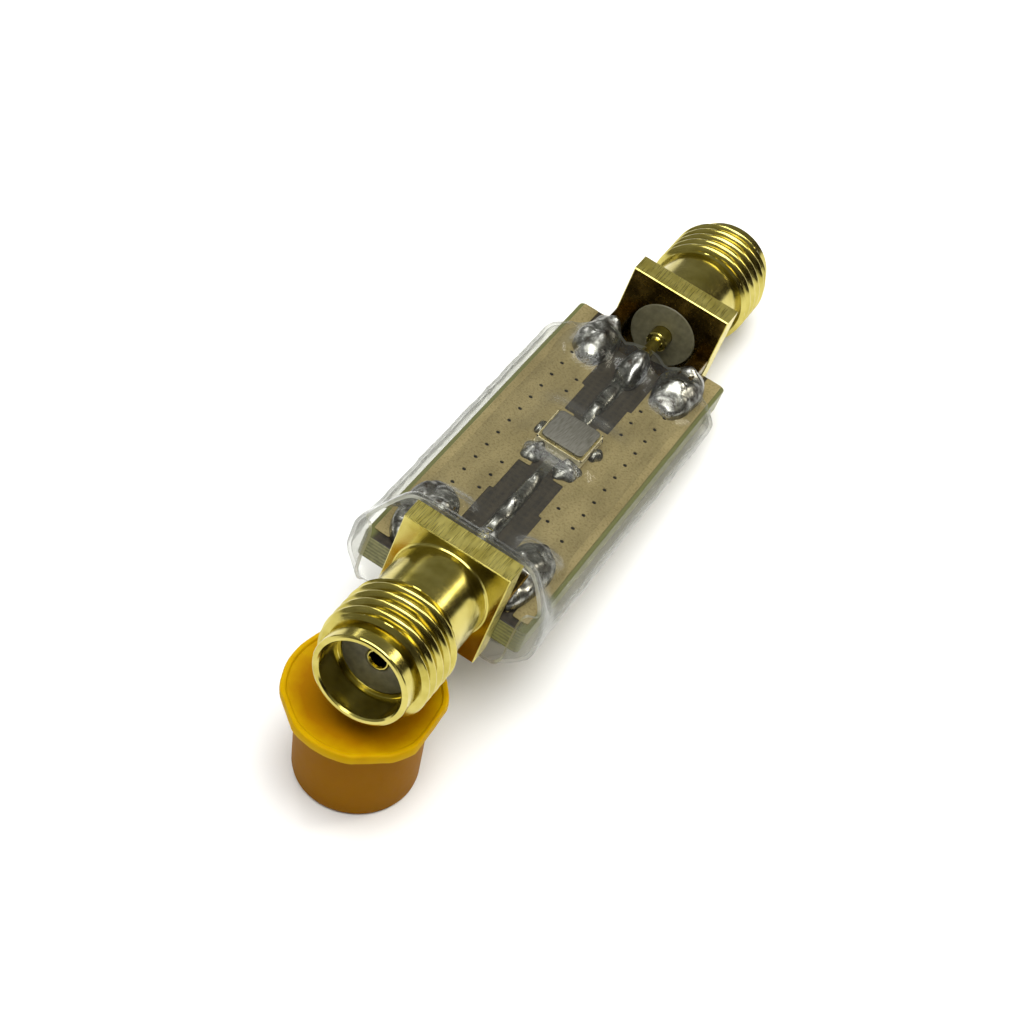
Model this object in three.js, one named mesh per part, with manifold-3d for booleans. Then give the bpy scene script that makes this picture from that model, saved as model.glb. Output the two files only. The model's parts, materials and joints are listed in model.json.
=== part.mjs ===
// In-line coaxial band-pass filter with its loose dust cap. Millimetres, +Z up.
//
// A bare board carries one ceramic filter between two screw-on coaxial jacks, inside a clear
// heat-shrunk sleeve. The near jack's thread rests on the flange of the upturned dust cap, so the
// module stands pitched, with the far jack's thread on the surface.

import * as THREE from 'three';
import { mergeVertices } from 'three/addons/utils/BufferGeometryUtils.js';
import Module from 'manifold-3d';

const wasm = await Module();
wasm.setup();

// ---------------------------------------------------------------- driving dimensions

const SEAT = 0.02; // air left between two pieces that touch
const ROOM = 40; // a cutting block's reach, past everything on the module

// One coaxial jack. Its own frame has the mating end along +Y and the flange's back face at y = 0.
const JACK = {
  flangeSide: 6.35,
  flangeThick: 1.55,
  neckRadius: 2.7,
  neckLength: 3.6,
  threadRadius: 3.175,
  threadPitch: 0.7056,
  threadDepth: 0.4,
  threadTurns: 5,
  leadRadius: 2.667,
  leadLength: 1.1,
  boreRadius: 2.3,
  boreDepth: 1.9,
  insulatorRadius: 2.05,
  contactRadius: 0.635,
  socketRadius: 0.46,
  socketDepth: 2.6,
  shoulderLength: 0.9,
  pinRadius: 0.38,
  pinLength: 4.2,
  legWidth: 1.0,
  legHeight: 1.0,
  legLength: 4.2,
  legEdgeMargin: 0.05,
};

const BOARD = {
  length: 26.28,
  width: 10.0,
  thickness: 1.55,
  copper: 0.05,
  deck: -0.86, // height of the top copper, from the jacks' axis
  sideShift: -0.22, // how far the board was soldered off the jacks' axis
  notchHalfWidth: 3.25,
  notchDepth: 2.2,
  cornerRadius: 0.3,
  copperMargin: 0.25,
  copperEndMargin: 0.1,
};

const POUR = {
  wideGap: 1.68, // half-width of the bare lane at the jacks
  narrowGap: 1.45, // half-width of the bare lane next to the filter
  padGap: 0.75, // half-width of the lane under the filter
  nearStep: -5.0,
  farStep: 6.5,
  padReachNear: 1.7, // bare-lane end, from the filter's near wall
  padReachFar: 1.0,
  slotInner: 3.55,
  slotOuter: 3.8,
};

const VIA = { hole: 0.15, wall: 0.04, pitch: 1.33, outerRow: 3.33, innerRow: 2.05, sides: 6 };

const TRACE = { wide: 0.9, narrow: 0.62, neckFrom: 5.5, underPackage: 0.6 };

const FILTER = {
  side: 3.0,
  centreY: 1.3,
  height: 0.55,
  floor: 0.2,
  wall: 0.4,
  standoff: 0.05,
  ringWidth: 0.3,
  ringInset: 0.08,
  ringHeight: 0.1,
  lidInset: 0.16,
  lidHeight: 0.08,
  cornerRadius: 0.25,
  die: { x: 1.3, y: 1.7, z: 0.2 },
};

const SOLDER = {
  overLeg: 0.15,
  overPin: 0.14,
  notchInset: 0.1, // every jack joint stops this far short of the notch
  middle: 0.45, // a leg lump is tallest at this share of its length from the notch
};
const PIN_JOINT = { halfWidth: 0.78, middle: 1.0, halfLength: 1.75 };

// How far the lump on each leg spreads from it, towards the pin and away, and its length.
const LEG_JOINTS = {
  near_left: { inwards: 0.28, outwards: 1.7, length: 3.6 },
  near_right: { inwards: 0.65, outwards: 0.75, length: 3.6 },
  far_left: { inwards: 0.2, outwards: 0.88, length: 2.4 },
  far_right: { inwards: 0.65, outwards: 1.3, length: 3.3 },
};
const LOWER_JOINT = { inwards: 0.4, outwards: 0.6, length: 2.5 };

// Lumps round the filter: the wall that each leans on, its middle from there, and its half-sizes.
const FILTER_JOINTS = {
  input: { wall: [0, -1], offset: [0, -0.6], size: [0.3, 1.2, 0.34] },
  output: { wall: [0, 1], offset: [0, 0.5], size: [0.3, 1.1, 0.34] },
  near_left: { wall: [0, -1], offset: [-1.18, -0.55], size: [0.75, 1.1, 0.6] },
  near_right: { wall: [0, -1], offset: [1.22, -0.5], size: [0.8, 1.15, 0.55] },
  mid_left: { wall: [-1, 0], offset: [-0.1, 0.1], size: [0.4, 0.7, 0.5] },
  mid_right: { wall: [1, 0], offset: [0.1, 0.15], size: [0.55, 0.75, 0.55] },
  far_left: { wall: [0, 1], offset: [-1.1, 0.2], size: [0.6, 0.55, 0.4] },
  far_right: { wall: [0, 1], offset: [1.1, 0.2], size: [0.6, 0.6, 0.42] },
};

const SLEEVE = {
  wall: 0.25,
  sideGap: 0.45,
  legClear: 0.28, // air over the upper legs' outer corners and under the lower ones'
  farInset: 0.05,
  cornerLength: 1.15,
  farSideGap: 0.06,
  mouthClear: 0.1, // air between the mouth and the near flange's corners
  mouthSide: 1.0,
  mouthWrap: 0.85, // how far the mouth's sides reach past the flange's back face
  mouthRise: 2.3, // length over which the crown climbs to the flange
  crownRamp: 1.3,
  crownSetback: 0.1, // the mouth's crown stops this far behind the flange
  crownRound: 0.3,
  crownSpread: 1.25, // how wide the mouth's crown keeps behind the flange
  cornerWrap: 0.2, // how far the full width runs past the board's end
  cornerInset: 0.15,
  sections: 40,
};

const CAP = {
  height: 6.32,
  flangeRadius: 4.26,
  flangeThick: 0.65,
  bodyRadius: 3.45,
  footRadius: 3.34,
  boreRadius: 3.0,
  crown: 0.95,
  edgeRound: 0.12,
  trims: [{ angle: 0.0, depth: 0.3 }, { angle: -2.3, depth: 0.14 }], // flats on the flange's rim
};

const REST = {
  roll: 0.133, // the module lies rolled about its own axis
  capSide: -0.73, // cap's centre, sideways from the jacks' axis
  capOverlap: 2.6, // how far its flange reaches past the first crest, towards the board
  gap: SEAT,
};

// ---------------------------------------------------------------- sizes worked out from them

const halfLength = BOARD.length / 2;
const notchEdge = halfLength - BOARD.notchDepth;
const copperTop = BOARD.deck;
const coreTop = copperTop - BOARD.copper - SEAT;
const coreBottom = coreTop - BOARD.thickness;
const copperBottom = coreBottom - SEAT - BOARD.copper;
const boardMid = (copperTop + copperBottom) / 2;
const copperHalfWidth = BOARD.width / 2 - BOARD.copperMargin;
const copperEnd = halfLength - BOARD.copperEndMargin;

const threadStart = JACK.flangeThick + JACK.neckLength;
const threadEnd = threadStart + JACK.threadTurns * JACK.threadPitch;
const jackTip = threadEnd + JACK.leadLength;
const insulatorFace = jackTip - JACK.boreDepth;
const legX = JACK.flangeSide / 2 - JACK.legWidth / 2;
const upperLeg = { low: copperTop + SEAT, high: copperTop + SEAT + JACK.legHeight };
const lowerLeg = { low: -JACK.flangeSide / 2 + JACK.legEdgeMargin, high: copperBottom - SEAT };

const filterNear = FILTER.centreY - FILTER.side / 2;
const filterFar = FILTER.centreY + FILTER.side / 2;
const filterBase = copperTop + FILTER.standoff;
const filterTop = filterBase + FILTER.height;

// Pitch at which the far thread's last crest and the near thread's first crest both rest.
const farRest = halfLength + threadEnd;
const nearRest = halfLength + threadStart;
const pitch = Math.asin((CAP.height + REST.gap) / (farRest + nearRest));

// ---------------------------------------------------------------- materials

const finish = (color, roughness, metalness) =>
  new THREE.MeshStandardMaterial({ color, roughness, metalness });

const GOLD = finish(0xb5a53c, 0.22, 1.0);
const PTFE = finish(0xb9b6a4, 0.55, 0.0);
const FR4 = finish(0x4a4022, 0.5, 0.0);
const COPPER = finish(0xa08c5a, 0.4, 0.9);
const TIN = finish(0xa9abb2, 0.25, 1.0);
const CERAMIC = finish(0xd9d2bb, 0.5, 0.0);
const LID = finish(0x8f8b7e, 0.35, 1.0);
const SILICON = finish(0x40444c, 0.2, 0.3);
const CLEAR = new THREE.MeshStandardMaterial({
  color: 0xe9e6da,
  roughness: 0.15,
  transparent: true,
  opacity: 0.3,
});
const YELLOW = finish(0xc98f06, 0.45, 0.0);

// ---------------------------------------------------------------- solid helpers

/** A closed three.js geometry as a manifold solid. */
function solid(geometry) {
  const bare = geometry.clone();
  bare.deleteAttribute('normal');
  bare.deleteAttribute('uv');
  const merged = mergeVertices(bare, 1e-5);
  return new wasm.Manifold(new wasm.Mesh({
    numProp: 3,
    vertProperties: new Float32Array(merged.attributes.position.array),
    triVerts: new Uint32Array(merged.index.array),
  }));
}

/** A manifold solid as a three.js geometry. */
function geometryOf(body) {
  const mesh = body.getMesh();
  const geometry = new THREE.BufferGeometry();
  geometry.setAttribute('position', new THREE.BufferAttribute(mesh.vertProperties, 3));
  geometry.setIndex(new THREE.BufferAttribute(mesh.triVerts, 1));
  geometry.computeVertexNormals();
  return geometry;
}

/** An axis-aligned box between two corners. */
function block(low, high) {
  const size = high.map((value, i) => value - low[i]);
  const centre = high.map((value, i) => (value + low[i]) / 2);
  return new THREE.BoxGeometry(...size).translate(...centre);
}

/** A plate with its outline in the XY plane, standing from z = low to z = high. */
function plate(shape, low, high) {
  return new THREE.ExtrudeGeometry(shape, {
    depth: high - low,
    bevelEnabled: false,
    curveSegments: 4,
  }).translate(0, 0, low);
}

/** A closed outline through a list of [x, y] points. */
function outline(points) {
  return new THREE.Shape(points.map(([x, y]) => new THREE.Vector2(x, y)));
}

/** A rectangle with round corners, centred on the origin. */
function roundedRectangle(width, length, radius) {
  const shape = new THREE.Shape();
  const x = width / 2 - radius;
  const y = length / 2 - radius;
  shape.absarc(x, y, radius, 0, Math.PI / 2);
  shape.absarc(-x, y, radius, Math.PI / 2, Math.PI);
  shape.absarc(-x, -y, radius, Math.PI, Math.PI * 1.5);
  shape.absarc(x, -y, radius, Math.PI * 1.5, Math.PI * 2);
  return shape;
}

/** A solid turned about the Y axis from a [radius, y] profile that starts and ends on the axis. */
function turned(profile, segments) {
  return new THREE.LatheGeometry(profile.map(([r, y]) => new THREE.Vector2(r, y)), segments);
}

/** A named mesh of one piece. */
function piece(name, geometry, material) {
  const mesh = new THREE.Mesh(geometry, material);
  mesh.name = name;
  return mesh;
}

// ---------------------------------------------------------------- jack

const JACK_SEGMENTS = 28;

/** Outline of the barrel from the flange to the lead, with one trapezium crest for each turn. */
function barrelProfile() {
  const root = JACK.threadRadius - JACK.threadDepth;
  const quarter = JACK.threadPitch / 4;
  const profile = [[0, 0], [JACK.neckRadius, 0], [JACK.neckRadius, threadStart]];
  for (let turn = 0; turn < JACK.threadTurns; turn += 1) {
    const y = threadStart + turn * JACK.threadPitch;
    profile.push([root, y + quarter * 0.3]);
    profile.push([JACK.threadRadius, y + quarter * 1.6]);
    profile.push([JACK.threadRadius, y + quarter * 2.4]);
    profile.push([root, y + quarter * 3.7]);
  }
  profile.push([JACK.leadRadius, threadEnd], [JACK.leadRadius, jackTip], [0, jackTip]);
  return profile;
}

/** Flange, barrel and four board legs in one piece, bored through for the insulator. */
function jackBody() {
  const half = JACK.flangeSide / 2;
  const mouth = JACK.insulatorRadius + SEAT;
  let body = solid(turned(barrelProfile(), JACK_SEGMENTS));
  body = body.add(solid(block([-half, 0, -half], [half, JACK.flangeThick, half])));
  for (const side of [-1, 1]) {
    for (const leg of [upperLeg, lowerLeg]) {
      const inner = side * legX - JACK.legWidth / 2;
      const low = [inner, -JACK.legLength, leg.low];
      const high = [inner + JACK.legWidth, SEAT, leg.high];
      body = body.add(solid(block(low, high)));
    }
  }
  const bore = turned([
    [0, -SEAT],
    [mouth, -SEAT],
    [mouth, insulatorFace],
    [JACK.boreRadius, insulatorFace],
    [JACK.boreRadius, jackTip + SEAT],
    [0, jackTip + SEAT],
  ], JACK_SEGMENTS);
  return geometryOf(body.subtract(solid(bore)));
}

/** Insulator: a plain tube that fills the body between the flange's back face and the bore. */
function jackInsulator() {
  return new THREE.LatheGeometry([
    [JACK.contactRadius + SEAT, 0],
    [JACK.insulatorRadius, 0],
    [JACK.insulatorRadius, insulatorFace],
    [JACK.contactRadius + SEAT, insulatorFace],
    [JACK.contactRadius + SEAT, 0],
  ].map(([r, y]) => new THREE.Vector2(r, y)), JACK_SEGMENTS);
}

/** Centre contact: a socket at the mating face, a shoulder, and the solder pin over the board. */
function jackContact() {
  return turned([
    [0, -JACK.pinLength],
    [JACK.pinRadius, -JACK.pinLength],
    [JACK.pinRadius, -JACK.shoulderLength],
    [JACK.contactRadius, -JACK.shoulderLength],
    [JACK.contactRadius, insulatorFace],
    [JACK.socketRadius, insulatorFace],
    [JACK.socketRadius, insulatorFace - JACK.socketDepth],
    [0, insulatorFace - JACK.socketDepth],
  ], 16);
}

/** One jack's three pieces, named after the end that it is on. */
function jack(end) {
  const group = new THREE.Group();
  group.add(piece(`${end}_jack_body`, jackBody(), GOLD));
  group.add(piece(`${end}_jack_insulator`, jackInsulator(), PTFE));
  group.add(piece(`${end}_jack_contact`, jackContact(), GOLD));
  return group;
}

// ---------------------------------------------------------------- board

/** Centres of the ground vias: a full outer row on each side and a short inner row at each end. */
function viaCentres() {
  const centres = [];
  const count = Math.floor((notchEdge - 1) / VIA.pitch);
  for (let i = -count; i <= count; i += 1) {
    const y = i * VIA.pitch;
    centres.push([VIA.outerRow, y]);
    if (i < count) {
      centres.push([-VIA.outerRow, y + VIA.pitch / 2]);
    }
    const beyondFilter = y < filterNear - POUR.padReachNear - VIA.pitch / 2
      || y > filterFar + POUR.padReachFar + VIA.pitch / 2;
    if (beyondFilter && Math.abs(i) <= count - 2) {
      centres.push([VIA.innerRow, y]);
      centres.push([-VIA.innerRow, y + VIA.pitch / 2]);
    }
  }
  return centres;
}

/** Upright prisms through the whole board at every via. */
function viaPrisms(radius, low, high) {
  const prisms = viaCentres().map(([x, y]) => {
    const prism = new THREE.CylinderGeometry(radius, radius, high - low, VIA.sides);
    prism.rotateX(Math.PI / 2).translate(x, y, (low + high) / 2);
    return solid(prism);
  });
  return wasm.Manifold.union(prisms);
}

/** Board outline with a notch at each end that lets the centre pins in. */
function boardOutline() {
  const x = BOARD.width / 2;
  const r = BOARD.cornerRadius;
  const shape = new THREE.Shape();
  for (const end of [1, -1]) {
    shape.absarc(end * (x - r), end * (halfLength - r), r, end > 0 ? 0 : Math.PI,
      end > 0 ? Math.PI / 2 : Math.PI * 1.5);
    shape.lineTo(end * BOARD.notchHalfWidth, end * halfLength);
    shape.lineTo(end * BOARD.notchHalfWidth, end * notchEdge);
    shape.lineTo(-end * BOARD.notchHalfWidth, end * notchEdge);
    shape.lineTo(-end * BOARD.notchHalfWidth, end * halfLength);
    shape.absarc(-end * (x - r), end * (halfLength - r), r, end > 0 ? Math.PI / 2 : Math.PI * 1.5,
      end > 0 ? Math.PI : Math.PI * 2);
  }
  return shape;
}

/** Glass-epoxy core, drilled for the vias. */
function boardCore() {
  const core = solid(plate(boardOutline(), coreBottom, coreTop));
  const drilled = VIA.hole + VIA.wall + SEAT;
  return geometryOf(core.subtract(viaPrisms(drilled, coreBottom - 1, coreTop + 1)));
}

/** Half of the top ground pour, right of the trace, with its slots beside the notches. */
function pourOutline() {
  const edge = BOARD.notchHalfWidth + BOARD.copperEndMargin;
  const notchLine = notchEdge - BOARD.copperEndMargin;
  const slotEnd = notchEdge + BOARD.copperEndMargin;
  const padNear = filterNear - POUR.padReachNear;
  const padFar = filterFar + POUR.padReachFar;
  const finger = (end) => [
    [POUR.slotOuter, end * copperEnd],
    [POUR.slotOuter, end * slotEnd],
    [POUR.slotInner, end * slotEnd],
    [POUR.slotInner, end * copperEnd],
    [edge, end * copperEnd],
    [edge, end * notchLine],
    [POUR.wideGap, end * notchLine],
  ];
  return outline([
    [copperHalfWidth, -copperEnd],
    [copperHalfWidth, copperEnd],
    ...finger(1),
    [POUR.wideGap, POUR.farStep],
    [POUR.narrowGap, POUR.farStep],
    [POUR.narrowGap, padFar],
    [POUR.padGap, padFar],
    [POUR.padGap, padNear],
    [POUR.narrowGap, padNear],
    [POUR.narrowGap, POUR.nearStep],
    [POUR.wideGap, POUR.nearStep],
    ...finger(-1).reverse(),
  ]);
}

/** Bottom ground plane, kept back from the board's edges. */
function planeOutline() {
  const notchX = BOARD.notchHalfWidth + BOARD.copperEndMargin;
  const notchY = notchEdge - BOARD.copperEndMargin;
  const points = [];
  for (const end of [1, -1]) {
    points.push([end * copperHalfWidth, end * copperEnd], [end * notchX, end * copperEnd]);
    points.push([end * notchX, end * notchY], [-end * notchX, end * notchY]);
    points.push([-end * notchX, end * copperEnd], [-end * copperHalfWidth, end * copperEnd]);
  }
  return outline(points);
}

/** Both pours, the bottom plane and the plated via barrels: one connected piece of copper. */
function groundCopper() {
  const pour = solid(plate(pourOutline(), coreTop + SEAT, copperTop));
  const plane = solid(plate(planeOutline(), copperBottom, coreBottom - SEAT));
  const barrels = viaPrisms(VIA.hole + VIA.wall, copperBottom, copperTop);
  const holes = viaPrisms(VIA.hole, copperBottom - 1, copperTop + 1);
  return geometryOf(pour.add(pour.mirror([1, 0, 0])).add(plane).add(barrels).subtract(holes));
}

/** A tinned trace from one notch to its pad under the filter, narrower near the filter. */
function trace(end) {
  const start = end * (notchEdge - BOARD.copperEndMargin);
  const neck = end * TRACE.neckFrom;
  const pad = (end < 0 ? filterNear : filterFar) - end * TRACE.underPackage;
  const wide = TRACE.wide / 2;
  const narrow = TRACE.narrow / 2;
  const right = [[wide, start], [wide, neck + end * (wide - narrow)], [narrow, neck], [narrow, pad]];
  const left = right.map(([x, y]) => [-x, y]).reverse();
  return plate(outline([...right, ...left]), coreTop + SEAT, copperTop);
}

// ---------------------------------------------------------------- filter

/** Ceramic tray with its cavity open at the top. */
function filterPackage() {
  const side = FILTER.side - 2 * FILTER.wall;
  const outer = plate(roundedRectangle(FILTER.side, FILTER.side, FILTER.cornerRadius / 2), 0,
    FILTER.height);
  const cavity = block([-side / 2, -side / 2, FILTER.floor], [side / 2, side / 2, FILTER.height + 1]);
  return geometryOf(solid(outer).subtract(solid(cavity)));
}

/** Metal ring that the lid is welded to. */
function sealRing() {
  const side = FILTER.side - 2 * FILTER.ringInset;
  const inner = side - 2 * FILTER.ringWidth;
  const shape = roundedRectangle(side, side, FILTER.cornerRadius);
  shape.holes.push(roundedRectangle(inner, inner, FILTER.cornerRadius / 2));
  return plate(shape, 0, FILTER.ringHeight);
}

/** Thin metal lid with round corners. */
function filterLid() {
  const side = FILTER.side - 2 * FILTER.lidInset;
  return plate(roundedRectangle(side, side, FILTER.cornerRadius), 0, FILTER.lidHeight);
}

/** The filter's four pieces, stacked on the board. */
function filter() {
  const group = new THREE.Group();
  group.position.set(0, FILTER.centreY, filterBase);
  const ringZ = FILTER.height + SEAT;
  const lidZ = ringZ + FILTER.ringHeight + SEAT;
  const { x, y, z } = FILTER.die;
  const dieZ = FILTER.floor + SEAT + z / 2;
  group.add(piece('filter_package', filterPackage(), CERAMIC));
  group.add(piece('filter_seal_ring', sealRing().translate(0, 0, ringZ), GOLD));
  group.add(piece('filter_lid', filterLid().translate(0, 0, lidZ), LID));
  group.add(piece('filter_die', new THREE.BoxGeometry(x, y, z).translate(0, 0, dieZ), SILICON));
  return group;
}

// ---------------------------------------------------------------- solder

/** A domed lump with its round middle at a point, as a manifold solid. */
function lump([x, y, z], [rx, ry, rz]) {
  return solid(new THREE.SphereGeometry(1, 12, 8).scale(rx, ry, rz).translate(x, y, z));
}

/** What lies above (side 1) or below (side -1) a level. */
function keepBeyond(body, level, side) {
  const far = level + side * ROOM;
  const room = block([-ROOM, -ROOM, Math.min(level, far)], [ROOM, ROOM, Math.max(level, far)]);
  return body.intersect(solid(room));
}

/** The biggest of a solid's separate bodies: the thin slivers that a groove leaves are melted in. */
function mainBody(body) {
  return body.decompose().reduce((best, other) => (other.volume() > best.volume() ? other : best));
}

/** Lump that holds the filter's foot to the copper, cut to the package's wall. */
function filterJoint(centre, radii) {
  const reach = FILTER.side / 2 + SEAT;
  const low = [-reach, FILTER.centreY - reach, copperTop - 1];
  const high = [reach, FILTER.centreY + reach, filterTop + 1];
  const body = lump([...centre, copperTop + SEAT], radii).subtract(solid(block(low, high)));
  return geometryOf(keepBeyond(body, copperTop + SEAT, 1));
}

/** The lumps round the filter: a trace joint at each end and three ground joints on each side. */
function filterJoints() {
  const group = new THREE.Group();
  const reach = FILTER.side / 2;
  for (const [name, { wall, offset, size }] of Object.entries(FILTER_JOINTS)) {
    const centre = [wall[0] * reach + offset[0], FILTER.centreY + wall[1] * reach + offset[1]];
    group.add(piece(`filter_joint_${name}`, filterJoint(centre, size), TIN));
  }
  return group;
}

/** Everything from the notch line outwards, in a jack's frame. */
function beyondBoard() {
  const start = -BOARD.notchDepth - SOLDER.notchInset;
  return solid(block([-ROOM, start, -ROOM], [ROOM, ROOM, ROOM]));
}

/** Lump over one jack leg, in the jack's frame, grooved for the leg that it holds. */
function legJoint(side, boardX, upper, { inwards, outwards, length }) {
  const leg = upper ? upperLeg : lowerLeg;
  const level = upper ? copperTop + SEAT : copperBottom - SEAT;
  const x = side * legX;
  const reach = JACK.legWidth / 2 + SEAT;
  const start = -BOARD.notchDepth - SOLDER.notchInset;
  const height = leg.high - leg.low + SOLDER.overLeg;
  const copperEdge = copperHalfWidth + side * boardX;
  const laneEdge = POUR.wideGap + side * boardX;
  const outer = Math.min(legX + JACK.legWidth / 2 + outwards, copperEdge);
  const inner = Math.max(legX - JACK.legWidth / 2 - inwards, laneEdge);
  const centre = [side * (outer + inner) / 2, start - length * SOLDER.middle, level];
  const body = lump(centre, [(outer - inner) / 2, length * (1 - SOLDER.middle), height]);
  const low = [x - reach, -JACK.legLength - SEAT, leg.low - 2 * SEAT];
  const high = [x + reach, 1, leg.high + 2 * SEAT];
  const open = body.subtract(solid(block(low, high))).subtract(beyondBoard());
  return geometryOf(mainBody(keepBeyond(open, level, upper ? 1 : -1)));
}

/** Lump over the centre pin, in the jack's frame. */
function pinJoint() {
  const level = copperTop + SEAT;
  const start = -BOARD.notchDepth - SOLDER.notchInset;
  const reach = JACK.pinRadius + SEAT;
  const size = [PIN_JOINT.halfWidth, PIN_JOINT.halfLength, reach - level + SOLDER.overPin];
  const body = lump([0, start - PIN_JOINT.middle, level], size);
  const pin = turned([[0, -JACK.pinLength - SEAT], [reach, -JACK.pinLength - SEAT], [reach, 1], [0, 1]], 16);
  const open = body.subtract(solid(pin)).subtract(beyondBoard());
  return geometryOf(keepBeyond(open, level, 1));
}

/** The five solder joints of one jack. */
function jackJoints(end) {
  const group = new THREE.Group();
  const boardX = end === 'far' ? BOARD.sideShift : -BOARD.sideShift;
  group.add(piece(`${end}_pin_joint`, pinJoint(), TIN));
  for (const side of [-1, 1]) {
    const hand = (side < 0) === (end === 'far') ? 'left' : 'right';
    const size = LEG_JOINTS[`${end}_${hand}`];
    group.add(piece(`${end}_${hand}_leg_joint_top`, legJoint(side, boardX, true, size), TIN));
    group.add(piece(`${end}_${hand}_leg_joint_bottom`, legJoint(side, boardX, false, LOWER_JOINT), TIN));
  }
  return group;
}

// ---------------------------------------------------------------- sleeve

/** Height to give a rounded outline so that it just passes over a corner at (x, height). */
function heightOver(x, height, halfWidth, square) {
  return height / (1 - (x / halfWidth) ** square) ** (1 / square);
}

/**
 * Cross-sections along the sleeve, far end first. Each has its place at the sides and at the top,
 * its outer half-width, top and bottom, and how square it is.
 */
function sleeveStations() {
  const wall = SLEEVE.wall;
  const wide = BOARD.width / 2 + SLEEVE.sideGap + wall;
  const snug = BOARD.width / 2 + SLEEVE.farSideGap + wall;
  const square = 3;
  const mouthSquare = 8;
  const corner = JACK.flangeSide / 2 + Math.abs(BOARD.sideShift);
  const over = (height) => heightOver(corner, height, wide - wall, square) + wall;
  const top = boardMid + over(upperLeg.high + SLEEVE.legClear - boardMid);
  const bottom = boardMid - over(boardMid - lowerLeg.low + SLEEVE.legClear);
  const mouthWide = JACK.flangeSide / 2 + SLEEVE.mouthSide + wall;
  const flangeTop = JACK.flangeSide / 2 + SLEEVE.mouthClear - boardMid;
  const mouth = boardMid + heightOver(corner, flangeTop, mouthWide - wall, mouthSquare) + wall;
  const far = notchEdge - SLEEVE.farInset;
  const rise = -halfLength + SLEEVE.mouthRise;
  const tip = -halfLength - SLEEVE.mouthWrap;
  const shoulder = far - SLEEVE.cornerLength;
  const ramp = rise - SLEEVE.crownRamp;
  const crown = -halfLength + SLEEVE.crownSetback;
  const bend = -halfLength - SLEEVE.cornerWrap;
  const bendHalf = wide - SLEEVE.cornerInset;
  const bendCrown = crown + SLEEVE.crownRound;
  return [
    { side: far, crown: far, half: snug, top, bottom, square: 2 * square },
    { side: shoulder, crown: shoulder, half: wide, top, bottom, square },
    { side: rise, crown: rise, half: wide, top, bottom, square },
    { side: (rise - halfLength) / 2, crown: ramp, half: wide, top: (top + mouth) / 2, bottom, square },
    { side: bend, crown: bendCrown, half: bendHalf, top: mouth, bottom, square: square + 1 },
    { side: tip, crown, half: mouthWide, top: mouth, bottom: -mouth, square: mouthSquare },
  ];
}

/** Where a point of the sleeve's wall lies, given its angle about the axis. */
function sleevePoint(station, angle, inset) {
  const across = Math.cos(angle);
  const up = Math.sin(angle);
  const power = 2 / station.square;
  const reach = up > 0 ? station.top - inset - boardMid : boardMid - station.bottom - inset;
  const crown = Math.min(1, SLEEVE.crownSpread * Math.max(0, up));
  return [
    Math.sign(across) * Math.abs(across) ** power * (station.half - inset),
    station.side + (station.crown - station.side) * crown,
    boardMid + Math.sign(up) * Math.abs(up) ** power * reach,
  ];
}

/** Shrunk tube: snug at the far notch, rounded past the board's edges, flared over the near flange. */
function sleeve() {
  const stations = sleeveStations();
  const bore = 0.5;
  const ring = new THREE.Shape().absarc(0, 0, 1, 0, Math.PI * 2);
  ring.holes.push(new THREE.Path().absarc(0, 0, bore, 0, Math.PI * 2));
  const geometry = new THREE.ExtrudeGeometry(ring, {
    depth: 1,
    steps: stations.length - 1,
    curveSegments: SLEEVE.sections / 2,
    bevelEnabled: false,
  });
  const position = geometry.attributes.position;
  for (let i = 0; i < position.count; i += 1) {
    const [x, y] = [position.getX(i), position.getY(i)];
    const station = stations[Math.round(position.getZ(i) * (stations.length - 1))];
    const inset = Math.hypot(x, y) > (1 + bore) / 2 ? 0 : SLEEVE.wall;
    position.setXYZ(i, ...sleevePoint(station, Math.atan2(y, x), inset));
  }
  geometry.computeVertexNormals();
  return geometry;
}

// ---------------------------------------------------------------- cap

/** Moulded push-on cap, standing on its open end with its flanged crown up. */
function dustCap() {
  const { height, flangeRadius, flangeThick, bodyRadius, footRadius, boreRadius, edgeRound } = CAP;
  const shell = turned([
    [0, height - CAP.crown],
    [boreRadius, height - CAP.crown],
    [boreRadius, 0],
    [footRadius - edgeRound, 0],
    [footRadius, edgeRound],
    [bodyRadius, height - flangeThick],
    [flangeRadius, height - flangeThick],
    [flangeRadius, height - edgeRound / 2],
    [flangeRadius - edgeRound / 2, height],
    [0, height],
  ], 40).rotateX(Math.PI / 2);
  let body = solid(shell);
  for (const { angle, depth } of CAP.trims) {
    const low = [flangeRadius - depth, -flangeRadius, -1];
    const high = [flangeRadius + 1, flangeRadius, height + 1];
    body = body.subtract(solid(block(low, high).rotateZ(angle)));
  }
  return geometryOf(body);
}

// ---------------------------------------------------------------- assembly

const board = new THREE.Group();
board.position.x = BOARD.sideShift;
board.add(
  piece('board_core', boardCore(), FR4),
  piece('ground_copper', groundCopper(), COPPER),
  piece('near_trace', trace(-1), COPPER),
  piece('far_trace', trace(1), COPPER),
  filter(),
  filterJoints(),
  piece('heat_shrink_sleeve', sleeve(), CLEAR),
);

const farEnd = new THREE.Group();
farEnd.position.y = halfLength;
farEnd.add(jack('far'), jackJoints('far'));

const nearEnd = new THREE.Group();
nearEnd.position.y = -halfLength;
nearEnd.rotation.z = Math.PI;
nearEnd.add(jack('near'), jackJoints('near'));

const filterModule = new THREE.Group();
filterModule.rotation.set(-pitch, REST.roll, 0);
filterModule.position.z = farRest * Math.sin(pitch) + JACK.threadRadius * Math.cos(pitch);
filterModule.add(board, farEnd, nearEnd);

const firstCrestY = -nearRest * Math.cos(pitch) - JACK.threadRadius * Math.sin(pitch);
const cap = piece('dust_cap', dustCap(), YELLOW);
cap.position.set(REST.capSide, firstCrestY + REST.capOverlap - CAP.flangeRadius, 0);

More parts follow.
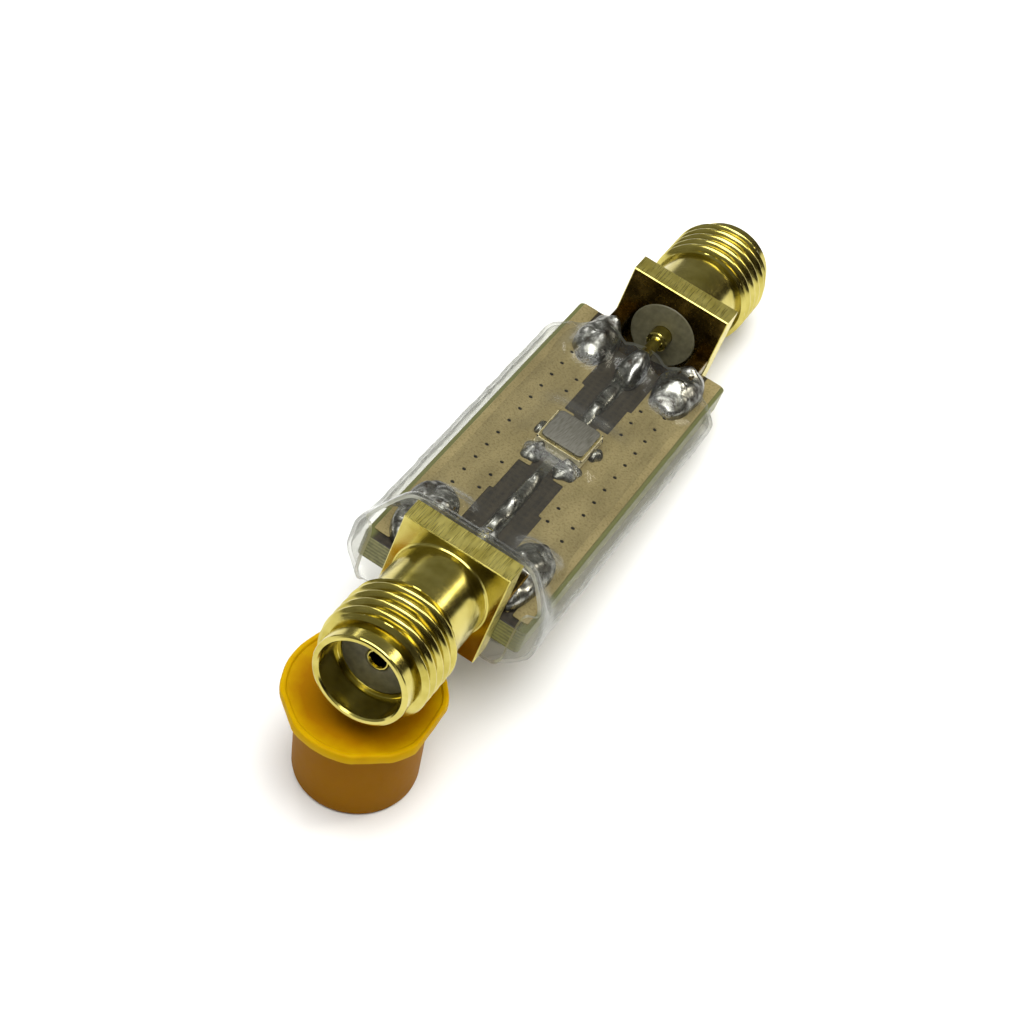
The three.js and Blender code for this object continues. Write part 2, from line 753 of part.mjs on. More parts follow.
const assembly = new THREE.Group();
assembly.add(filterModule, cap);
assembly.updateMatrixWorld(true);

// The origin is under the middle of the whole, on the surface that it stands on.
const extent = new THREE.Box3().setFromObject(assembly, true);
const middle = extent.getCenter(new THREE.Vector3());
assembly.position.set(-middle.x, -middle.y, -extent.min.z);
assembly.updateMatrixWorld(true);

export default assembly;
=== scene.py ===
"""Looks of an in-line coaxial band-pass filter module and its loose dust cap.

Every piece is modelled in millimetres in the axes of the thing that it belongs to, and put in its
place, in metres, by the frame's own nodes.
"""
import json
import logging
import math
from abc import ABC, abstractmethod
from dataclasses import dataclass, field
from enum import Enum
from typing import Iterable, Sequence

import bmesh
import bpy
from bmesh.types import BMEdge, BMesh, BMVert
from mathutils import Matrix, Vector, noise


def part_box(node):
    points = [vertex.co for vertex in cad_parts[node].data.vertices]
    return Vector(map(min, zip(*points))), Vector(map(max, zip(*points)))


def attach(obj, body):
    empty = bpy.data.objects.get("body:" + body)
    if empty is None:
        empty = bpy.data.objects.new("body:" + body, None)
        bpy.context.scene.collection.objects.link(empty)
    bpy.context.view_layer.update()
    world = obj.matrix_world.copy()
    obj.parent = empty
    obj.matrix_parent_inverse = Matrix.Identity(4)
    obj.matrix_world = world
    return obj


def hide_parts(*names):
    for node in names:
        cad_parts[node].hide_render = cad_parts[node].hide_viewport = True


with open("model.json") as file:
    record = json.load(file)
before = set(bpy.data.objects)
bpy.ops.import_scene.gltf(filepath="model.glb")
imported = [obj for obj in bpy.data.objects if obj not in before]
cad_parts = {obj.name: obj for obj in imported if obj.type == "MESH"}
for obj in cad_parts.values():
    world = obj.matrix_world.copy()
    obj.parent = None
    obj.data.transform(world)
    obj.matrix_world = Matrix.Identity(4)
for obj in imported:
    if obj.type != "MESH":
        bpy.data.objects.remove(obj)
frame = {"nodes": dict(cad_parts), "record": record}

LOG = logging.getLogger("filter_module")
MM = 0.001
ROUND = 96  # faces round a turned piece
FIT = 0.02  # clearance between neighbouring solids, in millimetres
FLAT = 0.9  # a face whose normal has more than this along Z lies flat
MERGE = 1e-4  # vertices closer than this are one, in millimetres
CUT = 1e-5  # how near a plane a vertex counts as on it, in millimetres


class Swell(Enum):
    """Which of the many smooth noise patterns an uneven edge follows."""

    NEAR_MOUTH = 31.0
    FAR_MOUTH = 37.0
    CRINKLE = 41.0
    BULGE = 43.0
    CAP_RIM = 51.0


class Body(Enum):
    """What a piece moves with."""

    MODULE = "filter_module"
    CAP = "dust_cap"


class End(Enum):
    """The two ends of the module, as the side of Y that each is on."""

    NEAR = -1
    FAR = 1


class Hand(Enum):
    """The two sides of the board, as the side of X that each is on."""

    LEFT = -1
    RIGHT = 1


# ------------------------------------------------------------------ places


@dataclass(frozen=True)
class Space:
    """Axes that pieces are modelled in, in millimetres.

    Attributes:
        matrix: takes a point in these axes to the row frame, in metres.
        body: what the pieces made in it move with.
    """

    matrix: Matrix
    body: Body

    def box(self, node: str) -> tuple[Vector, Vector]:
        """Lowest and highest corners of a CAD node along these axes, in millimetres.

        Args:
            node: the CAD node's name.

        Returns:
            The two corners.
        """
        inverse = self.matrix.inverted()
        points = [inverse @ vert.co for vert in frame["nodes"][node].data.vertices]
        low = Vector([min(point[i] for point in points) for i in range(3)])
        high = Vector([max(point[i] for point in points) for i in range(3)])
        return low, high

    def moved(self, shift: Sequence[float], turn: float = 0.0) -> "Space":
        """The same axes, moved and then turned about their own Z.

        Args:
            shift: where the new origin lies, in millimetres.
            turn: angle about Z, in radians.

        Returns:
            The new axes.
        """
        matrix = self.matrix @ Matrix.Translation(shift) @ Matrix.Rotation(turn, 4, "Z")
        return Space(matrix, self.body)


def module_space() -> Space:
    """The module's axes: Y along the jacks, Z out of the board, origin midway between the jacks.

    Returns:
        The axes, which the module's pieces are modelled in.
    """
    mounts = {mount["name"]: mount for mount in frame["record"]["mounts"]}
    along = Vector(mounts["far_mating_face"]["axis"])
    out = Vector()
    for face in frame["nodes"]["filter_lid"].data.polygons:  # the lid is the flattest thing on it
        if face.normal.z > FLAT:
            out += face.normal * face.area
    out.normalize()
    middles = [sum(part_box(f"{end}_jack_contact"), Vector()) / 2 for end in ("near", "far")]
    origin = (middles[0] + middles[1]) / 2
    axes = Matrix((along.cross(out), along, out)).transposed().to_4x4()
    return Space(Matrix.Translation(origin) @ axes @ Matrix.Scale(MM, 4), Body.MODULE)


def cap_space() -> Space:
    """The dust cap's axes: upright, with the origin in the middle of its open foot.

    Returns:
        The axes, which the cap is modelled in.
    """
    foot = {mount["name"]: mount for mount in frame["record"]["mounts"]}["cap_foot"]["pos_m"]
    low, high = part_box("dust_cap")
    centre_y = high.y - (high.y - low.y) / 2
    place = Matrix.Translation((foot[0], centre_y, 0))
    return Space(place @ Matrix.Scale(MM, 4), Body.CAP)


# ------------------------------------------------------------------ node helpers


def linear(hex_code: str) -> tuple[float, float, float, float]:
    """An sRGB hex colour as the linear colour that shaders take.

    Args:
        hex_code: six hex digits, such as "C8B24A".

    Returns:
        Red, green, blue and alpha.
    """
    parts = [int(hex_code[i:i + 2], 16) / 255 for i in (0, 2, 4)]
    red, green, blue = [p / 12.92 if p <= 0.04045 else ((p + 0.055) / 1.055) ** 2.4 for p in parts]
    return red, green, blue, 1.0


def add(tree: bpy.types.NodeTree, kind: str, sockets: dict | None = None, **settings) -> bpy.types.Node:
    """Adds one node with its settings and links.

    Args:
        tree: the node tree that gets it.
        kind: the node's type name, without "ShaderNode".
        sockets: input name or number to a value, or to the output socket that feeds it.
        **settings: the node's own properties.

    Returns:
        The new node.
    """
    made = tree.nodes.new("ShaderNode" + kind)
    for key, value in settings.items():
        setattr(made, key, value)
    for key, value in (sockets or {}).items():
        if isinstance(value, bpy.types.NodeSocket):
            tree.links.new(value, made.inputs[key])
        else:
            made.inputs[key].default_value = value
    return made


def ramp(tree: bpy.types.NodeTree, source: bpy.types.NodeSocket,
         stops: Sequence[tuple[float, str]]) -> bpy.types.NodeSocket:
    """A colour ramp over a number.

    Args:
        tree: the node tree.
        source: the number from 0 to 1.
        stops: (place, hex colour) pairs in rising order.

    Returns:
        The ramp's colour socket.
    """
    made = add(tree, "ValToRGB", {"Fac": source})
    elements = made.color_ramp.elements
    while len(elements) < len(stops):
        elements.new(0.5)
    for element, (place, colour) in zip(elements, stops):
        element.position = place
        element.color = linear(colour)
    return made.outputs["Color"]


def stretched(tree: bpy.types.NodeTree, place: bpy.types.NodeSocket,
              scale: Sequence[float]) -> bpy.types.NodeSocket:
    """A place scaled along each axis, for grain that runs one way.

    Args:
        tree: the node tree.
        place: the coordinates, in millimetres.
        scale: how many pattern units there are to a millimetre along X, Y and Z.

    Returns:
        The scaled coordinates.
    """
    return add(tree, "Mapping", {"Vector": place, "Scale": scale}).outputs["Vector"]


# ------------------------------------------------------------------ finishes


class Finish(ABC):
    """A real material and how its surface was made."""

    name: str

    @abstractmethod
    def shade(self, tree: bpy.types.NodeTree, place: bpy.types.NodeSocket) -> bpy.types.NodeSocket:
        """Builds the shader.

        Args:
            tree: the material's node tree.
            place: coordinates in millimetres along the axes of the piece's space.

        Returns:
            The shader's output socket.
        """

    def material(self, space: Space) -> bpy.types.Material:
        """The Blender material for pieces made in a space.

        Args:
            space: the axes that the pattern follows.

        Returns:
            The material, made once for each finish and space.
        """
        key = f"{self.name}_{space.body.value}"
        made = bpy.data.materials.get(key)
        if made is not None:
            return made
        made = bpy.data.materials.new(key)
        made.use_nodes = True
        tree = made.node_tree
        tree.nodes.clear()
        rotation = space.matrix.to_3x3().normalized().transposed()
        origin = rotation @ space.matrix.translation / MM
        turned = add(tree, "Mapping", {
            "Vector": add(tree, "TexCoord").outputs["Object"],
            "Location": -origin,
            "Rotation": rotation.to_euler(),
            "Scale": (1 / MM, 1 / MM, 1 / MM),
        })
        add(tree, "OutputMaterial", {"Surface": self.shade(tree, turned.outputs["Vector"])})
        return made


class Lay(Enum):
    """Which way the tool marks run on a metal surface, as marks in two millimetres along X, Y and Z.

    Real cutting marks are a few hundredths of a millimetre apart. These are about twice as coarse,
    so that they show.
    """

    TURNED = (0.4, 9.0, 0.4)
    MILLED = (11.0, 0.35, 11.0)
    SMOOTH = (1.5, 1.5, 1.5)


@dataclass(frozen=True)
class PlatedBrass(Finish):
    """Gold-plated brass: a greenish pale gold mirror, with the tool marks showing through."""

    name: str = "gold_plated_turned_brass"
    lay: Lay = Lay.TURNED
    colour: str = "C2B666"
    worn: str = "AEA14E"
    roughness: float = 0.16
    marks: float = 0.10

    def shade(self, tree: bpy.types.NodeTree, place: bpy.types.NodeSocket) -> bpy.types.NodeSocket:
        """Mirror metal with fine grooves along the lay and faint clouds in the plating.

        Args:
            tree: the material's node tree.
            place: coordinates in millimetres.

        Returns:
            The shader's output socket.
        """
        grooves = add(tree, "TexNoise", {
            "Vector": stretched(tree, place, self.lay.value), "Scale": 2.0, "Detail": 3.0})
        # thin and thick patches of plating, about a millimetre across
        clouds = add(tree, "TexNoise", {"Vector": place, "Scale": 0.9, "Detail": 4.0})
        colour = ramp(tree, clouds.outputs["Fac"], [(0.35, self.worn), (0.62, self.colour)])
        rough = add(tree, "MapRange", {
            "Value": grooves.outputs["Fac"], "From Min": 0.3, "From Max": 0.7,
            "To Min": self.roughness * 0.7, "To Max": self.roughness * 1.5})
        bump = add(tree, "Bump", {
            "Height": grooves.outputs["Fac"], "Strength": self.marks, "Distance": 0.02 * MM})
        return add(tree, "BsdfPrincipled", {
            "Base Color": colour, "Metallic": 1.0, "Roughness": rough.outputs["Result"],
            "Normal": bump.outputs["Normal"]}).outputs["BSDF"]


MILLED_BRASS = PlatedBrass(name="gold_plated_milled_brass", lay=Lay.MILLED, colour="E0D47A",
                           worn="C6B85C", roughness=0.3, marks=0.25)
# painted dark reflection and shade: the backs of the flanges and the legs are coloured dark brown,
# still glossy, for the dark board and shade that they face
SHADED_BACK_BRASS = PlatedBrass(name="gold_plate_painted_dark_reflection", lay=Lay.SMOOTH, colour="6A5524",
                            worn="3A2D12", roughness=0.22, marks=0.15)
# painted shade: the inside of the socket is coloured nearly black for the shade deep in the hole
SHADED_SOCKET_BRASS = PlatedBrass(name="socket_brass_painted_shade", lay=Lay.SMOOTH, colour="3A311A",
                            worn="2A2312", roughness=0.45)
BRAZED_GOLD = PlatedBrass(name="gold_plated_brazed_ring", lay=Lay.SMOOTH, colour="DCCF9A",
                          worn="C8B776", roughness=0.3, marks=0.3)


@dataclass(frozen=True)
class Ptfe(Finish):
    """Machined PTFE: a waxy off-white, painted a dark olive grey for the shade and gold reflection in
    the bore, with faint turning rings.
    """

    name: str = "machined_ptfe_painted_shade"
    # painted shade: both colours are darkened from PTFE's off-white for the shade in the bore
    colour: str = "78745C"
    shade_colour: str = "625E48"

    def shade(self, tree: bpy.types.NodeTree, place: bpy.types.NodeSocket) -> bpy.types.NodeSocket:
        """Soft sheen over a slightly cloudy body.

        Args:
            tree: the material's node tree.
            place: coordinates in millimetres.

        Returns:
            The shader's output socket.
        """
        clouds = add(tree, "TexNoise", {"Vector": place, "Scale": 2.5, "Detail": 5.0})
        colour = ramp(tree, clouds.outputs["Fac"], [(0.3, self.shade_colour), (0.7, self.colour)])
        bump = add(tree, "Bump", {
            "Height": clouds.outputs["Fac"], "Strength": 0.2, "Distance": 0.03 * MM})
        return add(tree, "BsdfPrincipled", {
            "Base Color": colour, "Roughness": 0.42, "IOR": 1.38, "Subsurface Weight": 0.25,
            "Subsurface Radius": (0.6 * MM, 0.55 * MM, 0.4 * MM), "Subsurface Scale": 1.0,
            "Normal": bump.outputs["Normal"]}).outputs["BSDF"]


class Cut(Enum):
    """Which face of the laminate a finish is for."""

    FACE = "face"
    EDGE = "edge"


@dataclass(frozen=True)
class GlassEpoxy(Finish):
    """Glass-epoxy laminate: brown-olive resin over woven glass, paler and greener where it is sawn."""

    name: str = "glass_epoxy_laminate"
    cut: Cut = Cut.FACE
    dark: str = "130E08"
    light: str = "322B1F"
    yarn: float = 0.45  # millimetres from one glass yarn to the next
    rim: str = "5C5E34"  # painted glow: the bare margin is coloured greener for the light that comes in through the sawn sides
    rim_from: float = 4.35
    rim_fade: float = 0.25

    def shade(self, tree: bpy.types.NodeTree, place: bpy.types.NodeSocket) -> bpy.types.NodeSocket:
        """Two crossed wave patterns for the weave, with resin streaks along the board.

        Args:
            tree: the material's node tree.
            place: coordinates in millimetres.

        Returns:
            The shader's output socket.
        """
        turns = math.tau / self.yarn / 20  # the Wave texture has 20 radians to a unit
        ways = ("X", "Y") if self.cut is Cut.FACE else ("Z", "Z")
        warp, weft = [
            add(tree, "TexWave", {
                "Vector": place, "Scale": turns, "Distortion": 1.2, "Detail": 2.0,
                "Detail Scale": 3.0}, bands_direction=way) for way in ways]
        weave = add(tree, "Math", {0: warp.outputs["Fac"], 1: weft.outputs["Fac"]},
                    operation="MAXIMUM")
        streaks = add(tree, "TexNoise", {
            "Vector": stretched(tree, place, (3.0, 0.6, 3.0)), "Scale": 1.2, "Detail": 6.0})
        blend = add(tree, "Mix", {
            "Factor": 0.72, "A": weave.outputs["Value"], "B": streaks.outputs["Fac"]})
        colour = ramp(tree, blend.outputs["Result"], [(0.3, self.dark), (0.75, self.light)])
        # painted glow: the margins are mixed towards the greener rim colour, for light coming in
        # through the sawn sides
        if self.cut is Cut.FACE:
            across = add(tree, "SeparateXYZ", {"Vector": place}).outputs["X"]
            away = add(tree, "Math", {0: across}, operation="ABSOLUTE").outputs["Value"]
            rim = add(tree, "MapRange", {
                "Value": away, "From Min": self.rim_from, "From Max": self.rim_from + self.rim_fade})
            mixed = add(tree, "MixRGB", {
                "Fac": rim.outputs["Result"], "Color1": colour, "Color2": linear(self.rim)})
            colour = mixed.outputs["Color"]
        bump = add(tree, "Bump", {
            "Height": blend.outputs["Result"], "Strength": 0.35, "Distance": 0.03 * MM})
        return add(tree, "BsdfPrincipled", {
            "Base Color": colour, "Roughness": 0.38, "IOR": 1.55,
            "Normal": bump.outputs["Normal"]}).outputs["BSDF"]


SAWN_EPOXY = GlassEpoxy(name="sawn_glass_epoxy_edge", cut=Cut.EDGE, dark="5A5A2C", light="8C8C50",
                        yarn=0.22)


@dataclass(frozen=True)
class BoardCopper(Finish):
    """Board copper under an immersion-gold flash: matt tan foil with a fine sandy grain."""

    name: str = "immersion_gold_foil"
    colour: str = "9D8F63"
    shade_colour: str = "85784F"
    speck: str = "B5AA94"

    def shade(self, tree: bpy.types.NodeTree, place: bpy.types.NodeSocket) -> bpy.types.NodeSocket:
        """Grain a tenth of a millimetre across over slow clouds; half metal, half haze.

        Args:
            tree: the material's node tree.
            place: coordinates in millimetres.

        Returns:
            The shader's output socket.
        """
        grain = add(tree, "TexNoise", {"Vector": place, "Scale": 7.0, "Detail": 4.0})
        clouds = add(tree, "TexNoise", {
            "Vector": stretched(tree, place, (1.0, 0.35, 1.0)), "Scale": 0.8, "Detail": 4.0})
        body = ramp(tree, clouds.outputs["Fac"], [(0.32, self.shade_colour), (0.66, self.colour)])
        specks = ramp(tree, grain.outputs["Fac"], [(0.36, self.speck), (0.5, "FFFFFF")])
        colour = add(tree, "MixRGB", {"Fac": 0.5, "Color1": body, "Color2": specks},
                     blend_type="MULTIPLY")
        bump = add(tree, "Bump", {
            "Height": grain.outputs["Fac"], "Strength": 0.5, "Distance": 0.02 * MM})
        return add(tree, "BsdfPrincipled", {
            "Base Color": colour.outputs["Color"], "Metallic": 0.35, "Roughness": 0.46,
            "Normal": bump.outputs["Normal"]}).outputs["BSDF"]


@dataclass(frozen=True)
class TinLeadSolder(Finish):
    """Hand-soldered tin-lead: bright silver that froze in soft ripples, with grey flux-dulled skin."""

    name: str = "reflowed_tin_lead_solder"
    bright: str = "A8A8A2"
    dull: str = "696964"
    residue: str = "35302A"

    def shade(self, tree: bpy.types.NodeTree, place: bpy.types.NodeSocket) -> bpy.types.NodeSocket:
        """Mirror metal whose dull skin and flux stains come and go over half a millimetre.

        Args:
            tree: the material's node tree.
            place: coordinates in millimetres.

        Returns:
            The shader's output socket.
        """
        skin = add(tree, "TexNoise", {"Vector": place, "Scale": 1.6, "Detail": 6.0, "Roughness": 0.6})
        colour = ramp(tree, skin.outputs["Fac"], [
            (0.34, self.residue), (0.46, self.dull), (0.62, self.bright)])
        rough = add(tree, "MapRange", {
            "Value": skin.outputs["Fac"], "From Min": 0.35, "From Max": 0.65,
            "To Min": 0.48, "To Max": 0.2})
        ripple = add(tree, "TexNoise", {"Vector": place, "Scale": 1.5, "Detail": 3.0})
        bump = add(tree, "Bump", {
            "Height": ripple.outputs["Fac"], "Strength": 0.4, "Distance": 0.12 * MM})
        return add(tree, "BsdfPrincipled", {
            "Base Color": colour, "Metallic": 1.0, "Roughness": rough.outputs["Result"],
            "Normal": bump.outputs["Normal"]}).outputs["BSDF"]


@dataclass(frozen=True)
class Alumina(Finish):
    """Co-fired alumina: a matt cream ceramic."""

    name: str = "cofired_alumina"
    colour: str = "D8CFAE"
    shade_colour: str = "B5A981"

    def shade(self, tree: bpy.types.NodeTree, place: bpy.types.NodeSocket) -> bpy.types.NodeSocket:
        """Fine sintered grain.

        Args:
            tree: the material's node tree.
            place: coordinates in millimetres.

        Returns:
            The shader's output socket.
        """
        grain = add(tree, "TexNoise", {"Vector": place, "Scale": 6.0, "Detail": 6.0})
        colour = ramp(tree, grain.outputs["Fac"], [(0.35, self.shade_colour), (0.6, self.colour)])
        bump = add(tree, "Bump", {
            "Height": grain.outputs["Fac"], "Strength": 0.3, "Distance": 0.02 * MM})
        return add(tree, "BsdfPrincipled", {
            "Base Color": colour, "Roughness": 0.5, "IOR": 1.76,
            "Normal": bump.outputs["Normal"]}).outputs["BSDF"]


@dataclass(frozen=True)
class RolledIronNickel(Finish):
    """Nickel-plated rolled alloy lid: warm grey, with rolling grain drawn slantwise across it."""

    name: str = "rolled_iron_nickel_lid"
    light: str = "74726A"
    dark: str = "5A594F"

    def shade(self, tree: bpy.types.NodeTree, place: bpy.types.NodeSocket) -> bpy.types.NodeSocket:
        """Long thin streaks, drawn coarser than the real ones so that they show.

        Args:
            tree: the material's node tree.
            place: coordinates in millimetres.

        Returns:
            The shader's output socket.
        """
        slanted = add(tree, "Mapping", {"Vector": place, "Rotation": (0, 0, 0.12)})
        grain = add(tree, "TexNoise", {
            "Vector": stretched(tree, slanted.outputs["Vector"], (16.0, 1.6, 1.0)),
            "Scale": 1.0, "Detail": 5.0})
        colour = ramp(tree, grain.outputs["Fac"], [(0.35, self.dark), (0.65, self.light)])
        bump = add(tree, "Bump", {
            "Height": grain.outputs["Fac"], "Strength": 0.35, "Distance": 0.02 * MM})
        return add(tree, "BsdfPrincipled", {
            "Base Color": colour, "Metallic": 0.55, "Roughness": 0.45,
            "Normal": bump.outputs["Normal"]}).outputs["BSDF"]


@dataclass(frozen=True)
class LithiumTantalate(Finish):
    """Polished crystal die: smoky dark grey with aluminium electrode lines."""

    name: str = "polished_lithium_tantalate"

    def shade(self, tree: bpy.types.NodeTree, place: bpy.types.NodeSocket) -> bpy.types.NodeSocket:
        """Electrode fingers, drawn ten times too coarse so that they show.

        Args:
            tree: the material's node tree.
            place: coordinates in millimetres.

        Returns:
            The shader's output socket.
        """
        lines = add(tree, "TexWave", {"Vector": place, "Scale": 3.0})
        colour = ramp(tree, lines.outputs["Fac"], [(0.4, "33363D"), (0.6, "8D9097")])
        return add(tree, "BsdfPrincipled", {
            "Base Color": colour, "Roughness": 0.15, "IOR": 2.18}).outputs["BSDF"]


@dataclass(frozen=True)
class ClearPolyolefin(Finish):
    """Clear heat-shrunk tube: nearly invisible face on, milky and glossy where it turns away, where
    painted shade also greys the light through it.
    """

    name: str = "clear_shrunk_polyolefin"
    tint: str = "F9F9F7"
    haze: str = "E2E4E1"
    # painted shade: light through the film turns this grey where the film turns away, for the dark
    # edges that refraction gives
    painted_edge_shade: str = "6C6E6A"
    haze_share: float = 0.022
    gloss: float = 0.12

    def shade(self, tree: bpy.types.NodeTree, place: bpy.types.NodeSocket) -> bpy.types.NodeSocket:
        """Clear film mixed with a glossy milky one, by angle and by faint shrink marks.

        Args:
            tree: the material's node tree.
            place: coordinates in millimetres.

        Returns:
            The shader's output socket.
        """
        marks = add(tree, "TexNoise", {
            "Vector": stretched(tree, place, (0.5, 2.2, 0.5)), "Scale": 1.4, "Detail": 4.0})
        bump = add(tree, "Bump", {
            "Height": marks.outputs["Fac"], "Strength": 0.22, "Distance": 0.06 * MM})
        facing = add(tree, "LayerWeight", {"Blend": 0.5}).outputs["Facing"]
        mirror = add(tree, "Math", {0: facing, 1: 5.0}, operation="POWER").outputs["Value"]
        share = add(tree, "MapRange", {"Value": mirror, "To Min": self.haze_share})
        film = add(tree, "BsdfPrincipled", {
            "Base Color": linear(self.haze), "Metallic": 0.7, "Roughness": self.gloss,
            "Normal": bump.outputs["Normal"]})
        # painted shade: the light let through greys towards the edges
        depth = add(tree, "Math", {0: facing, 1: 3.5}, operation="POWER").outputs["Value"]
        through = ramp(tree, depth, [(0.0, self.tint), (1.0, self.painted_edge_shade)])
        clear = add(tree, "BsdfTransparent", {"Color": through})
        return add(tree, "MixShader", {
            0: share.outputs["Result"], 1: clear.outputs["BSDF"],
            2: film.outputs["BSDF"]}).outputs["Shader"]


# the cut edge is rough, so it scatters light and shows as a milky line
SNIPPED_FILM = ClearPolyolefin(name="snipped_polyolefin_rim", haze="C4C6BA", haze_share=0.45,
                               gloss=0.35)


@dataclass(frozen=True)
class MouldedPolyethylene(Finish):
    """Moulded low-density polyethylene: waxy translucent yellow, orange where it is thick, with painted
    shade: the crown's orange also stands for the jack's shadow, and the body under the flange is
    darker.
    """

    name: str = "moulded_yellow_polyethylene"
    thin: str = "BD9600"
    # partly painted shadow: the crown's orange also stands for the jack's shadow on it
    thick: str = "A06C00"
    # painted shade: the body under the flange is coloured darker
    skirt: str = "8C5C00"
    rim_radius: float = 3.9  # where the yellow of the thin rim starts to come in
    rim_before: float = 0.3
    rim_after: float = 0.7
    flange_from: float = 5.65  # height of the flange's underside
    flange_fade: float = 0.3

    def shade(self, tree: bpy.types.NodeTree, place: bpy.types.NodeSocket) -> bpy.types.NodeSocket:
        """Colour from the distance to the axis, so that the thin rim is yellower than the crown, whose
        orange is partly thickness and partly painted shadow.

        Args:
            tree: the material's node tree.
            place: coordinates in millimetres.

        Returns:
            The shader's output socket.
        """
        flat = add(tree, "VectorMath", {0: place, 1: (1, 1, 0)}, operation="MULTIPLY")
        radius = add(tree, "VectorMath", {0: flat.outputs["Vector"]}, operation="LENGTH")
        clouds = add(tree, "TexNoise", {"Vector": place, "Scale": 1.1, "Detail": 5.0})
        swirl = add(tree, "Math", {0: clouds.outputs["Fac"], 1: 0.9, 2: radius.outputs["Value"]},
                    operation="MULTIPLY_ADD")
        level = add(tree, "MapRange", {
            "Value": swirl.outputs["Value"], "From Min": self.rim_radius - self.rim_before,
            "From Max": self.rim_radius + self.rim_after})
        crown = ramp(tree, level.outputs["Result"], [(0.0, self.thick), (1.0, self.thin)])
        # painted shade: below the flange the colour goes to the darker skirt colour
        height = add(tree, "SeparateXYZ", {"Vector": place}).outputs["Z"]
        above = add(tree, "MapRange", {
            "Value": height, "From Min": self.flange_from - self.flange_fade,
            "From Max": self.flange_from})
        colour = add(tree, "MixRGB", {
            "Fac": above.outputs["Result"], "Color1": linear(self.skirt),
            "Color2": crown}).outputs["Color"]
        bump = add(tree, "Bump", {
            "Height": clouds.outputs["Fac"], "Strength": 0.4, "Distance": 0.06 * MM})
        return add(tree, "BsdfPrincipled", {
            "Base Color": colour, "Roughness": 0.52, "IOR": 1.51, "Specular IOR Level": 0.03,
            "Subsurface Weight": 0.35, "Subsurface Radius": (0.5 * MM, 0.3 * MM, 0.04 * MM),
            "Subsurface Scale": 1.0, "Normal": bump.outputs["Normal"]}).outputs["BSDF"]


@dataclass(frozen=True)
class PaintedBoard(Finish):
    """Matt white-painted table board, for the floor."""

    name: str = "matt_white_paint"
    colour: str = "F2F2F1"

    def shade(self, tree: bpy.types.NodeTree, place: bpy.types.NodeSocket) -> bpy.types.NodeSocket:
        """Plain matt white.

        Args:
            tree: the material's node tree.
            place: coordinates in millimetres.

        Returns:
            The shader's output socket.
        """
        return add(tree, "BsdfPrincipled", {
            "Base Color": linear(self.colour), "Roughness": 0.9}).outputs["BSDF"]


# ------------------------------------------------------------------ mesh helpers


def finish_piece(bm: BMesh, name: str, space: Space, finishes: Sequence[Finish],
                 replaced: Iterable[str], crease: float = 16.0) -> bpy.types.Object:
    """Turns a modelled mesh into a piece in its place, dressed and riding on its body.

    Args:
        bm: the mesh, in millimetres in the axes of the space. It is freed.
        name: the piece's name.
        space: its axes.
        finishes: its finishes, in the order of the faces' material numbers.
        replaced: the CAD nodes that it stands for.
        crease: angle between two faces past which their edge is sharp, in degrees.

    Returns:
        The piece's object.
    """
    bmesh.ops.remove_doubles(bm, verts=bm.verts, dist=MERGE)
    bmesh.ops.recalc_face_normals(bm, faces=bm.faces)
    for face in bm.faces:
        face.smooth = True
    for edge in bm.edges:
        edge.smooth = edge.calc_face_angle(0.0) < math.radians(crease)
    bm.transform(space.matrix)
    mesh = bpy.data.meshes.new(name)
    bm.to_mesh(mesh)
    bm.free()
    for finish in finishes:
        mesh.materials.append(finish.material(space))
    piece = bpy.data.objects.new(name, mesh)
    bpy.context.scene.collection.objects.link(piece)
    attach(piece, space.body.value)
    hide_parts(*replaced)
    LOG.info("%s: %d faces", name, len(mesh.polygons))
    return piece


def lathe(bm: BMesh, profile: Sequence[tuple[float, float]], axis: str = "Y",
          steps: int = ROUND) -> None:
    """Turns a profile a full turn about an axis.

    Args:
        bm: the mesh that gets the faces.
        profile: (radius, height along the axis) points.
        axis: "Y" or "Z".
        steps: how many faces go round.
    """
    along = Vector((0, 1, 0)) if axis == "Y" else Vector((0, 0, 1))
    verts = [bm.verts.new(Vector((radius, 0, 0)) + along * height) for radius, height in profile]
    edges = [bm.edges.new(pair) for pair in zip(verts, verts[1:])]
    bmesh.ops.spin(bm, geom=verts + edges, cent=(0, 0, 0), axis=along, dvec=(0, 0, 0),
                   angle=math.tau, steps=steps, use_merge=True)


def round_edges(bm: BMesh, edges: Iterable[BMEdge], width: float, segments: int = 2) -> None:
    """Rounds edges off.

    Args:
        bm: the mesh.
        edges: the edges.
        width: how far the round reaches along each face.
        segments: how many faces it has.
    """
    bmesh.ops.bevel(bm, geom=list(edges), offset=width, offset_type="OFFSET", segments=segments,
                    profile=0.5, affect="EDGES", material=-1, clamp_overlap=True)


def block(bm: BMesh, low: Sequence[float], high: Sequence[float], width: float) -> list[BMVert]:
    """A bar between two corners, with its edges rounded.

    Args:
        bm: the mesh that gets it.
        low: lowest corner.
        high: highest corner.
        width: how far the edges' rounds reach.

    Returns:
        The bar's vertices before they were rounded.
    """
    size = Vector(high) - Vector(low)
    place = Matrix.Translation((Vector(high) + Vector(low)) / 2) @ Matrix.Diagonal(size.to_4d())
    place[3][3] = 1.0
    verts = bmesh.ops.create_cube(bm, size=1.0, matrix=place)["verts"]
    round_edges(bm, {edge for vert in verts for edge in vert.link_edges}, width)
    return verts


